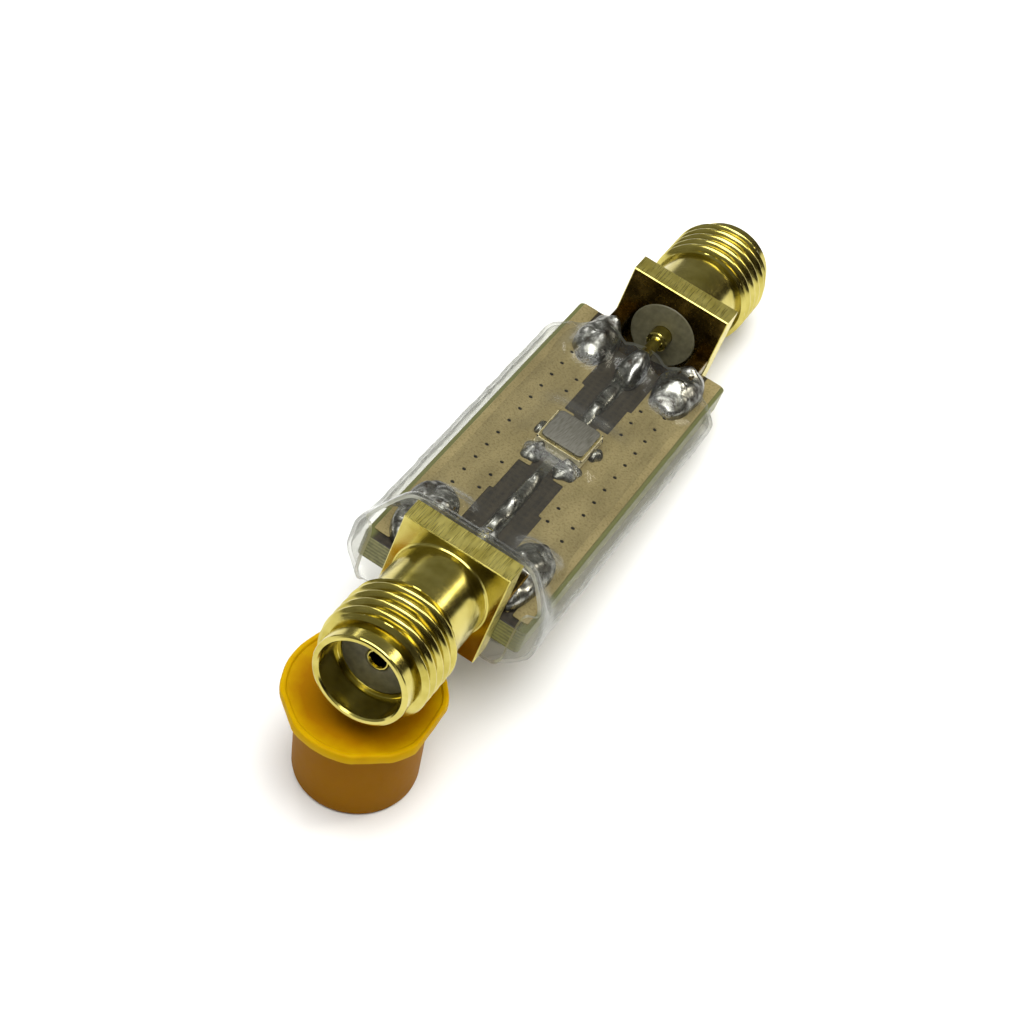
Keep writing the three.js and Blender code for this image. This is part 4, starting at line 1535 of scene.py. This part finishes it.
@dataclass
class Sleeve:
    """Clear tube shrunk over the board: draped on the joints, rounded past the board's edges."""

    space: Space
    wall: float = 0.2
    round: int = 160
    rings: int = 110
    side_square: float = 3.4
    mouth_square: float = 6.0
    gap: float = 0.16
    mouth_wave: float = 0.22
    far_wave: float = 0.12
    crinkle: float = 0.035
    bulge: float = 0.10
    far_pinch: float = 0.55  # how far the sides draw in at each mouth
    near_pinch: float = 1.25
    pinch_length: float = 1.2
    flange_lap: float = 0.12  # how far the top's mouth stops past the near flange's back
    mouth_from: float = 2.5  # where the tube starts to open out for the near flange
    mouth_reach: float = 3.45
    draping: float = 5.0  # the higher, the closer the film follows the props
    leg_x: float = 2.7
    leg_inward: float = 3.2
    low: Vector = field(init=False)
    high: Vector = field(init=False)
    board_low: Vector = field(init=False)
    board_high: Vector = field(init=False)
    near: float = field(init=False)
    far: float = field(init=False)

    def __post_init__(self) -> None:
        """Reads the sleeve's and the board's boxes from the frame."""
        self.low, self.high = self.space.box("heat_shrink_sleeve")
        self.board_low, self.board_high = self.space.box("ground_copper")
        self.near, self.far = [corner.y for corner in self.space.box("board_core")]

    def tents(self, top: bool) -> list[Tent]:
        """What props the film, above or below the board.

        Args:
            top: True for the upper film.

        Returns:
            The props.
        """
        near, far = self.near, self.far
        props = [Tent(side * self.leg_x, near + self.leg_inward, 0.5, 1.6, 1.3) for side in (-1, 1)]
        props += [Tent(side * self.leg_x, far - self.leg_inward, 0.45, 1.2, 1.25) for side in (-1, 1)]
        if top:  # the filter, the far pin's joint, and the near flange
            props.append(Tent(-0.22, 1.3, 1.5, 1.5, 0.85, 1.6))
            props.append(Tent(0.0, far - 2.6, 0.5, 0.8, 1.25))
            props.append(Tent(0.0, near - 0.1, 3.3, 0.35, 4.12, 2.2))
        else:
            props.append(Tent(0.0, near - 0.3, 3.3, 0.5, 0.9, 1.2))
        return props

    def film(self, x: float, y: float, top: bool) -> float:
        """Height of the film's outer face over or under the board.

        Args:
            x: place across.
            y: place along.
            top: True for the upper film.

        Returns:
            The height along Z.
        """
        lifts = [math.exp(self.draping * tent.lift(x, y)) for tent in self.tents(top)]
        lift = math.log(sum(lifts) / len(lifts) + 1e-9) / self.draping
        lift = max(0.0, lift) + self.gap + self.wall
        return self.board_high.z + lift if top else self.board_low.z - lift

    def half_width(self, y: float) -> float:
        """Outer half-width of the tube at a place along it.

        Args:
            y: the place along.

        Returns:
            The half-width.
        """
        widest = (self.high.x - self.low.x) / 2
        far_share = smooth_step(y, self.high.y - self.pinch_length, self.high.y) ** 1.5
        near_share = smooth_step(-y, -self.near - 0.2, -self.low.y + 0.1)
        return widest - self.far_pinch * far_share - self.near_pinch * near_share

    def ring(self, bm: BMesh, share: float) -> list[BMEdge]:
        """One cross-section of the tube's outer face.

        Args:
            bm: the mesh that gets it.
            share: how far along the tube it is, from 0 at the far mouth to 1 at the near one.

        Returns:
            Its edges.
        """
        place = Matrix.Rotation(math.pi / 2, 4, "X")
        verts = bmesh.ops.create_circle(bm, segments=self.round, radius=1.0, matrix=place)["verts"]
        middle = (self.low.x + self.high.x) / 2
        mid_z = (self.board_low.z + self.board_high.z) / 2
        for vert in verts:
            across, up = vert.co.x, vert.co.z
            crown = smooth_step(up, 0.0, 0.75)
            below = smooth_step(-up, 0.2, 0.9)
            round_place = Vector((across, up, 0))
            mouth = self.low.y + crown * (self.near + self.flange_lap - self.low.y) + below * 0.25
            mouth += self.mouth_wave * wander(round_place, 0.5, Swell.NEAR_MOUTH.value) * (1 - crown)
            end = self.high.y + self.far_wave * wander(round_place, 0.6, Swell.FAR_MOUTH.value)
            y = end + (mouth - end) * share
            near = smooth_step(-y, -self.near - self.mouth_from, -self.low.y)
            square = self.side_square + (self.mouth_square - self.side_square) * near
            half = self.half_width(y)
            x = math.copysign(abs(across) ** (2 / square), across) * half
            reach = abs(self.film(x + middle, y, up > 0) - mid_z)
            if up < 0:
                reach = max(reach, self.mouth_reach * near + mid_z)
            z = mid_z + math.copysign(abs(up) ** (2 / square), up) * reach
            steep = smooth_step(abs(across), 0.75, 0.98)
            # shrink ribs a third of a millimetre apart on the sides, over slower bulges
            ripple = wander(Vector((3 * across, y, z)), 0.33, Swell.CRINKLE.value)
            ripple = self.crinkle * ripple * steep
            swell = self.bulge * wander(Vector((across, y, z)), 1.9, Swell.BULGE.value) * steep
            vert.co = (x + middle + math.copysign(ripple + swell, across), y, z + ripple)
        return list({edge for vert in verts for edge in vert.link_edges})

    def build(self) -> None:
        """Makes the tube: rings bridged one to the next, then given a wall."""
        bm = bmesh.new()
        loops = [self.ring(bm, i / (self.rings - 1)) for i in range(self.rings)]
        for first, second in zip(loops, loops[1:]):
            bmesh.ops.bridge_loops(bm, edges=first + second)
        bmesh.ops.recalc_face_normals(bm, faces=bm.faces)
        skin = set(bm.verts)
        bmesh.ops.solidify(bm, geom=bm.faces[:], thickness=self.wall)
        for face in bm.faces:
            face.material_index = int(len({vert in skin for vert in face.verts}) == 2)
        finish_piece(bm, "clear_sleeve", self.space, [ClearPolyolefin(), SNIPPED_FILM],
                     ["heat_shrink_sleeve"], crease=70.0)


# ------------------------------------------------------------------ cap


@dataclass
class DustCap:
    """Push-on cap: a tapered cup on its open end, with a thin trimmed flange round its crown."""

    space: Space
    flange_thick: float = 0.65
    body_radius: float = 3.45
    foot_radius: float = 3.34
    bore_radius: float = 3.0
    crown: float = 0.95
    rim_width: float = 0.28
    dish: float = 0.15
    foot_round: float = 0.32
    trims: tuple = ((0.0, 0.3), (-2.3, 0.14), (-0.95, 0.12), (2.2, 0.1))  # angle, depth of each flat
    trim_reach: float = 1.2  # half the angle that a flat may cover, in radians
    nibs: float = 0.03  # height of the rim's mould flash

    def build(self) -> None:
        """Turns the cap, trims its flange where the gate was, and roughens its rim."""
        low, high = self.space.box("dust_cap")
        top = high.z
        radius = (high.y - low.y) / 2
        under = top - self.flange_thick
        bm = bmesh.new()
        lathe(bm, [
            (0, top - self.crown), (self.bore_radius - 0.3, top - self.crown),
            (self.bore_radius, top - self.crown - 0.3), (self.bore_radius, 0.05),
            (self.bore_radius + 0.05, 0), (self.foot_radius - self.foot_round, 0),
            (self.foot_radius - self.foot_round * 0.4, self.foot_round * 0.12),
            (self.foot_radius - self.foot_round * 0.1, self.foot_round * 0.45),
            (self.foot_radius, self.foot_round), (self.body_radius, under - 0.12),
            (self.body_radius + 0.1, under), (radius - 0.1, under), (radius - 0.02, under + 0.06),
            (radius, under + 0.2), (radius, top - 0.16), (radius - 0.05, top - 0.04),
            (radius - 0.13, top), (radius - self.rim_width, top - 0.02),
            (radius - self.rim_width - 0.08, top - self.dish + 0.03),
            (radius - self.rim_width - 0.2, top - self.dish), (2.0, top - self.dish - 0.02),
            (0, top - self.dish - 0.02),
        ], axis="Z", steps=144)
        for vert in bm.verts:
            self.trim(vert, radius, under)
        finish_piece(bm, "yellow_dust_cap", self.space, [MouldedPolyethylene()],
                     ["dust_cap"], crease=30.0)

    def trim(self, vert: BMVert, radius: float, under: float) -> None:
        """Pulls a vertex of the flange in to the trimmed flats and makes its edge uneven.

        Args:
            vert: the vertex.
            radius: the flange's radius.
            under: height of the flange's underside.
        """
        spread = math.hypot(vert.co.x, vert.co.y)
        if vert.co.z < under - 0.01 or spread < self.body_radius + 0.2:
            return
        angle = math.atan2(vert.co.y, vert.co.x)
        limit = radius
        for centre, depth in self.trims:
            turn = (angle - centre + math.pi) % math.tau - math.pi
            if abs(turn) < self.trim_reach:
                limit = min(limit, (radius - depth) / math.cos(turn))
        place = Vector((math.cos(angle), math.sin(angle), vert.co.z * 0.3))
        rough = self.nibs * wander(place, 0.18, Swell.CAP_RIM.value)
        share = (spread - self.body_radius) / (radius - self.body_radius)
        scale = 1 + ((limit + rough) / radius - 1) * min(1.0, share)
        vert.co.x *= scale
        vert.co.y *= scale


# ------------------------------------------------------------------ studio


@dataclass(frozen=True)
class Softbox:
    """A soft rectangular light.

    Attributes:
        place: where it hangs, in metres.
        size: its width and length, in metres.
        power: in watts.
        colour: hex colour of its light.
    """

    place: tuple[float, float, float]
    size: tuple[float, float]
    power: float
    colour: str = "FFFFFF"

    def hang(self, name: str) -> None:
        """Makes the light, aimed at the object.

        Args:
            name: its name.
        """
        data = bpy.data.lights.new(name, "AREA")
        data.shape = "RECTANGLE"
        data.size, data.size_y = self.size
        data.energy = self.power
        data.color = linear(self.colour)[:3]
        light = bpy.data.objects.new(name, data)
        light.location = self.place
        light.rotation_euler = (-Vector(self.place)).to_track_quat("-Z", "Y").to_euler()
        bpy.context.scene.collection.objects.link(light)


@dataclass
class Studio:
    """Pale floor, soft light and the camera."""

    target: tuple[float, float, float] = (0.00027, -0.00514, 0.00658)
    azimuth: float = 20.56
    elevation: float = 48.65
    roll: float = 10.68
    distance: float = 0.13572
    lens: float = 89.155
    floor_half: float = 1.5
    floor_gap: float = 0.00002
    slant: tuple[float, float, float] = (-0.3, 0.0, 0.5)  # the sky brightens along this
    sky: tuple[tuple[float, str], ...] = (
        (0.0, "1A140C"), (0.4, "2E2820"), (0.62, "7E7D75"), (1.0, "9A9A94"))
    boxes: tuple[Softbox, ...] = (
        Softbox((0.02, -0.02, 0.5), (0.46, 0.46), 3.9),
        Softbox((0.27, 0.31, 0.29), (0.14, 0.22), 0.7, "FFF8E8"),
        Softbox((-0.3, 0.31, 0.28), (0.06, 0.22), 0.22),
    )

    def build(self) -> None:
        """Makes everything round the object."""
        self.place_camera()
        self.lay_floor()
        world = bpy.data.worlds.new("studio")
        world.use_nodes = True
        world.node_tree.nodes.clear()
        tree = world.node_tree
        way = add(tree, "TexCoord").outputs["Generated"]
        height = add(tree, "VectorMath", {0: way, 1: self.slant}, operation="DOT_PRODUCT")
        level = add(tree, "Math", {0: height.outputs["Value"], 1: 0.4}, operation="ADD")
        sky = add(tree, "Background", {"Color": ramp(tree, level.outputs["Value"], self.sky)})
        add(tree, "OutputWorld", {"Surface": sky.outputs["Background"]})
        bpy.context.scene.world = world
        bpy.context.scene.view_settings.view_transform = "Standard"
        for number, box in enumerate(self.boxes):
            box.hang(f"softbox_{number}")

    def place_camera(self) -> None:
        """Stands the camera off the target at its azimuth, elevation and roll."""
        across, up = math.radians(self.azimuth), math.radians(self.elevation)
        flat = math.cos(up)
        back = Vector((math.sin(across) * flat, -math.cos(across) * flat, math.sin(up)))
        data = bpy.data.cameras.new("camera")
        data.lens = self.lens
        data.clip_start = 0.005
        data.clip_end = 20.0
        camera = bpy.data.objects.new("camera", data)
        level = (-back).to_track_quat("-Z", "Y").to_matrix().to_4x4()
        place = Matrix.Translation(Vector(self.target) + back * self.distance)
        camera.matrix_world = place @ level @ Matrix.Rotation(math.radians(self.roll), 4, "Z")
        bpy.context.scene.collection.objects.link(camera)
        bpy.context.scene.camera = camera

    def lay_floor(self) -> None:
        """Floor under the lowest point of the object."""
        bm = bmesh.new()
        bmesh.ops.create_grid(bm, x_segments=4, y_segments=4, size=self.floor_half,
                              matrix=Matrix.Translation((0, 0, -self.floor_gap)))
        mesh = bpy.data.meshes.new("floor")
        bm.to_mesh(mesh)
        bm.free()
        mesh.materials.append(PaintedBoard().material(Space(Matrix.Scale(MM, 4), Body.MODULE)))
        floor = bpy.data.objects.new("floor", mesh)
        bpy.context.scene.collection.objects.link(floor)


# ------------------------------------------------------------------ main


def main() -> None:
    """Builds every sub-assembly in order."""
    logging.basicConfig(level=logging.INFO, format="%(name)s: %(message)s")
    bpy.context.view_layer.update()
    module = module_space()
    Studio().build()
    half_length = module.box("far_jack_insulator")[0].y
    Jack(End.FAR, module.moved((0, half_length, 0))).build()
    Jack(End.NEAR, module.moved((0, -half_length, 0), math.pi)).build()
    board_low, board_high = module.box("board_core")
    board = module.moved(((board_low.x + board_high.x) / 2, 0, 0))
    Board(board).build()
    SolderWork(module).build()
    CeramicFilter(module).build()
    Sleeve(module).build()
    DustCap(cap_space()).build()


if __name__ == "__main__":
    main()
